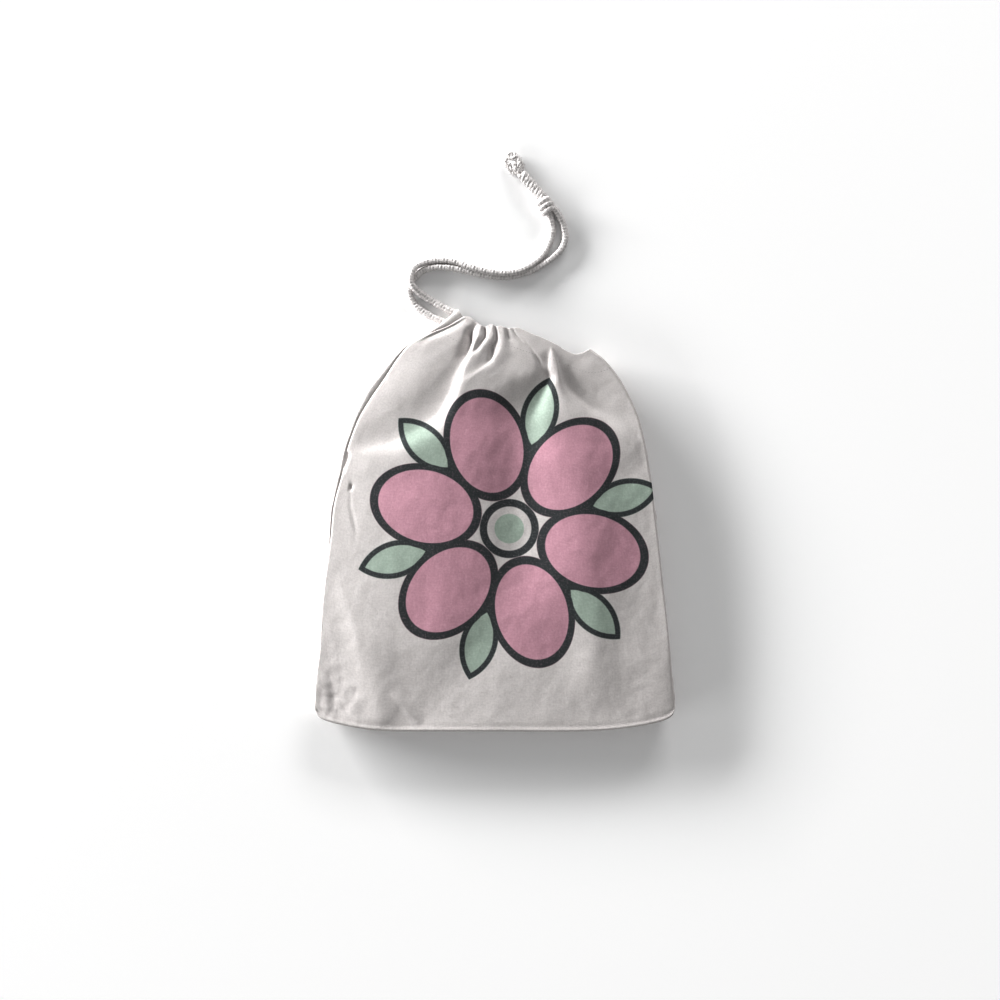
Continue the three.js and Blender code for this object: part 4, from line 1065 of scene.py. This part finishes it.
def cloth_material(name, printed, weave, print_group):
    """Cotton cloth with its weave, faint flecks and slubs, stitching with painted shade in its needle
    holes, and the print if it has one.
    """
    material, made, shader = begun_material(name, CLOTH_FINISH)
    flat = made.add("ShaderNodeUVMap", uv_map="cloth").outputs["UV"]
    cloth = made.add("ShaderNodeGroup", node_tree=weave)
    made.feed(cloth.inputs["Place"], flat)
    fleck = cloth.outputs["Fleck"]
    broad = made.noise(flat, CLOTH_TONE["broad_scale"])
    tone = made.weighed((fleck, CLOTH_TONE["fleck"]), (broad, CLOTH_TONE["broad"]))
    tone = made.maths("ADD", tone, CLOTH_TONE["least"])
    place = made.add("ShaderNodeSeparateXYZ", {"Vector": flat})
    from_line = made.maths("SUBTRACT", place.outputs["Y"], (FLAT_LENGTH - CASING) * MM)
    half_width = STITCH["half_width"] * MM
    in_line = made.step(made.maths("ABSOLUTE", from_line), half_width, half_width * STITCH["core"])
    along = made.maths("FRACT", made.maths("DIVIDE", place.outputs["X"], STITCH["pitch"] * MM))
    from_dash = made.maths("ABSOLUTE", made.maths("SUBTRACT", along, 0.5))
    in_dash = made.step(from_dash, STITCH["dash_from"], STITCH["dash_full"])
    # Painted shade: the needle holes between the thread's dashes are darkened
    hole_shade = made.maths("MULTIPLY", in_line, made.maths("SUBTRACT", 1.0, in_dash))
    colour = made.mix(made.maths("MULTIPLY", hole_shade, STITCH["dark"]), made.toned(COTTON, tone), STITCH_HOLE_SHADE)
    if printed:
        motif = made.add("ShaderNodeGroup", node_tree=print_group)
        made.feed(motif.inputs["Place"], made.add("ShaderNodeTexCoord").outputs["Object"])
        worn = made.step(fleck, *WORN)
        for mask, ink in (("Petal", PINK), ("Leaf", MINT), ("Line", CHARCOAL)):
            share = made.maths("MULTIPLY", motif.outputs[mask], worn)
            colour = made.mix(share, colour, made.toned(ink, tone))
    made.feed(shader.inputs["Base Color"], colour)
    bump = made.add("ShaderNodeBump", {**CLOTH_BUMP, "Height": cloth.outputs["Height"]})
    made.feed(shader.inputs["Normal"], bump.outputs["Normal"])
    return material


def cord_material():
    """Soft cotton cord: fibres along it, a little unevenness of colour, and painted shade in the braid's
    hollows.
    """
    material, made, shader = begun_material("Cotton cord", CORD_FINISH)
    place = made.add("ShaderNodeTexCoord").outputs["Object"]
    fibres = made.noise(place, *CORD_FIBRES.values())
    broad = made.noise(place, CORD_TONE["broad_scale"])
    tone = made.weighed((fibres, CORD_TONE["fibres"]), (broad, CORD_TONE["broad"]))
    tone = made.maths("ADD", tone, CORD_TONE["least"])
    # Painted shade: where the braid's relief is low, its hollows are darkened
    relief = made.add("ShaderNodeAttribute", attribute_name="relief").outputs["Fac"]
    raised = made.step(relief, HOLLOW_SHADE["lowest"], HOLLOW_SHADE["highest"])
    light = made.maths("ADD", 1 - HOLLOW_SHADE["dark"], made.maths("MULTIPLY", HOLLOW_SHADE["dark"], raised))
    made.feed(shader.inputs["Base Color"], made.toned(CORD_COTTON, made.maths("MULTIPLY", tone, light)))
    bump = made.add("ShaderNodeBump", {**CORD_BUMP, "Height": fibres})
    made.feed(shader.inputs["Normal"], bump.outputs["Normal"])
    return material


def floor_material():
    """White paper with the faintest unevenness."""
    material, made, shader = begun_material("White paper", PAPER_FINISH)
    uneven = made.noise(made.add("ShaderNodeTexCoord").outputs["Object"], PAPER_NOISE)
    made.feed(shader.inputs["Base Color"], made.mix(made.step(uneven, *PAPER_TONE), *PAPER))
    return material


PIXEL, PICTURE_PIXELS = 0.68, 1000  # millimetres of table a pixel of the picture, and its width
PICTURE_MIDDLE = (3.74, 13.36)
CAMERA = {"height": 3.0, "sensor": 36.0, "level": 0.006, "sees_to": 20}
# Large soft lights round the upper left, low over the table: the sizes and distance are in metres
LIGHT_DISTANCE = 12
# azimuth elevation wide high watts
LIGHTS = {
    "key": (145, 10.5, 8.7, 1.9, 3100),
    "far_side": (72, 17, 6.4, 2.1, 630),
    "left_side": (202, 15, 6.4, 2.1, 380),
}
AMBIENT = 0.44
VIEW = {"exposure": 0.0, "gamma": 0.65}
FLOOR_HALF = 3.0


def camera():
    """Straight above, as the picture was taken."""
    data = bpy.data.cameras.new("camera")
    data.sensor_width = CAMERA["sensor"]
    data.lens = CAMERA["sensor"] * (CAMERA["height"] - CAMERA["level"]) / (PICTURE_PIXELS * PIXEL * MM)
    data.clip_end = CAMERA["sees_to"]
    made = bpy.data.objects.new("camera", data)
    made.location = (PICTURE_MIDDLE[0] * MM, PICTURE_MIDDLE[1] * MM, CAMERA["height"])
    bpy.context.collection.objects.link(made)
    bpy.context.scene.camera = made


def lights():
    """Large soft lights low at the upper left, and even light from all round."""
    for name, (azimuth, elevation, wide, high, watts) in LIGHTS.items():
        data = bpy.data.lights.new(name, "AREA")
        data.shape = "RECTANGLE"
        data.size, data.size_y = wide, high
        data.energy = watts
        made = bpy.data.objects.new(name, data)
        turn, tilt = math.radians(azimuth), math.radians(elevation)
        towards = Vector((math.cos(tilt) * math.cos(turn), math.cos(tilt) * math.sin(turn), math.sin(tilt)))
        made.location = towards * LIGHT_DISTANCE
        made.rotation_euler = towards.to_track_quat("Z", "Y").to_euler()
        bpy.context.collection.objects.link(made)
    world = bpy.data.worlds.new("room")
    world.use_nodes = True
    world.node_tree.nodes["Background"].inputs["Color"].default_value = (1, 1, 1, 1)
    world.node_tree.nodes["Background"].inputs["Strength"].default_value = AMBIENT
    bpy.context.scene.world = world


def floor():
    """The white paper that the bag lies on."""
    mesh = bpy.data.meshes.new("floor")
    corners = [(x * FLOOR_HALF, y * FLOOR_HALF, 0) for x, y in ((-1, -1), (1, -1), (1, 1), (-1, 1))]
    mesh.from_pydata(corners, [], [(0, 1, 2, 3)])
    made = bpy.data.objects.new("floor", mesh)
    mesh.materials.append(floor_material())
    bpy.context.collection.objects.link(made)


camera()
upper, upper_path = strand("upper_strand", UPPER_STRAND)
lower, lower_path = strand("lower_strand", LOWER_STRAND)
knotted, twisted, frayed = knot(), tail(), tuft()
front, back = front_panel(), back_panel()

weave = woven_cotton()
front.data.materials.append(cloth_material("Printed cotton", True, weave, rosette()))
back.data.materials.append(cloth_material("Plain cotton", False, weave, None))
cord_cotton = cord_material()
for piece in (upper, lower, knotted, twisted, frayed):
    piece.data.materials.append(cord_cotton)

for piece, node, slot in (
    (front, "front_panel", "cotton_front"),
    (back, "back_panel", "cotton_back"),
    (upper, "drawcord_upper", "cotton_cord"),
    (lower, "drawcord_lower", "cotton_cord"),
    (knotted, "cord_knot", "cotton_cord"),
    (twisted, "cord_tail", "cotton_cord"),
    (frayed, "cord_tuft", "cotton_cord"),
):
    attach(piece, "root")
    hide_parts(node)

floor()
lights()
view_settings = bpy.context.scene.view_settings
view_settings.view_transform = "Standard"
view_settings.look = "None"
view_settings.exposure = VIEW["exposure"]
view_settings.gamma = VIEW["gamma"]
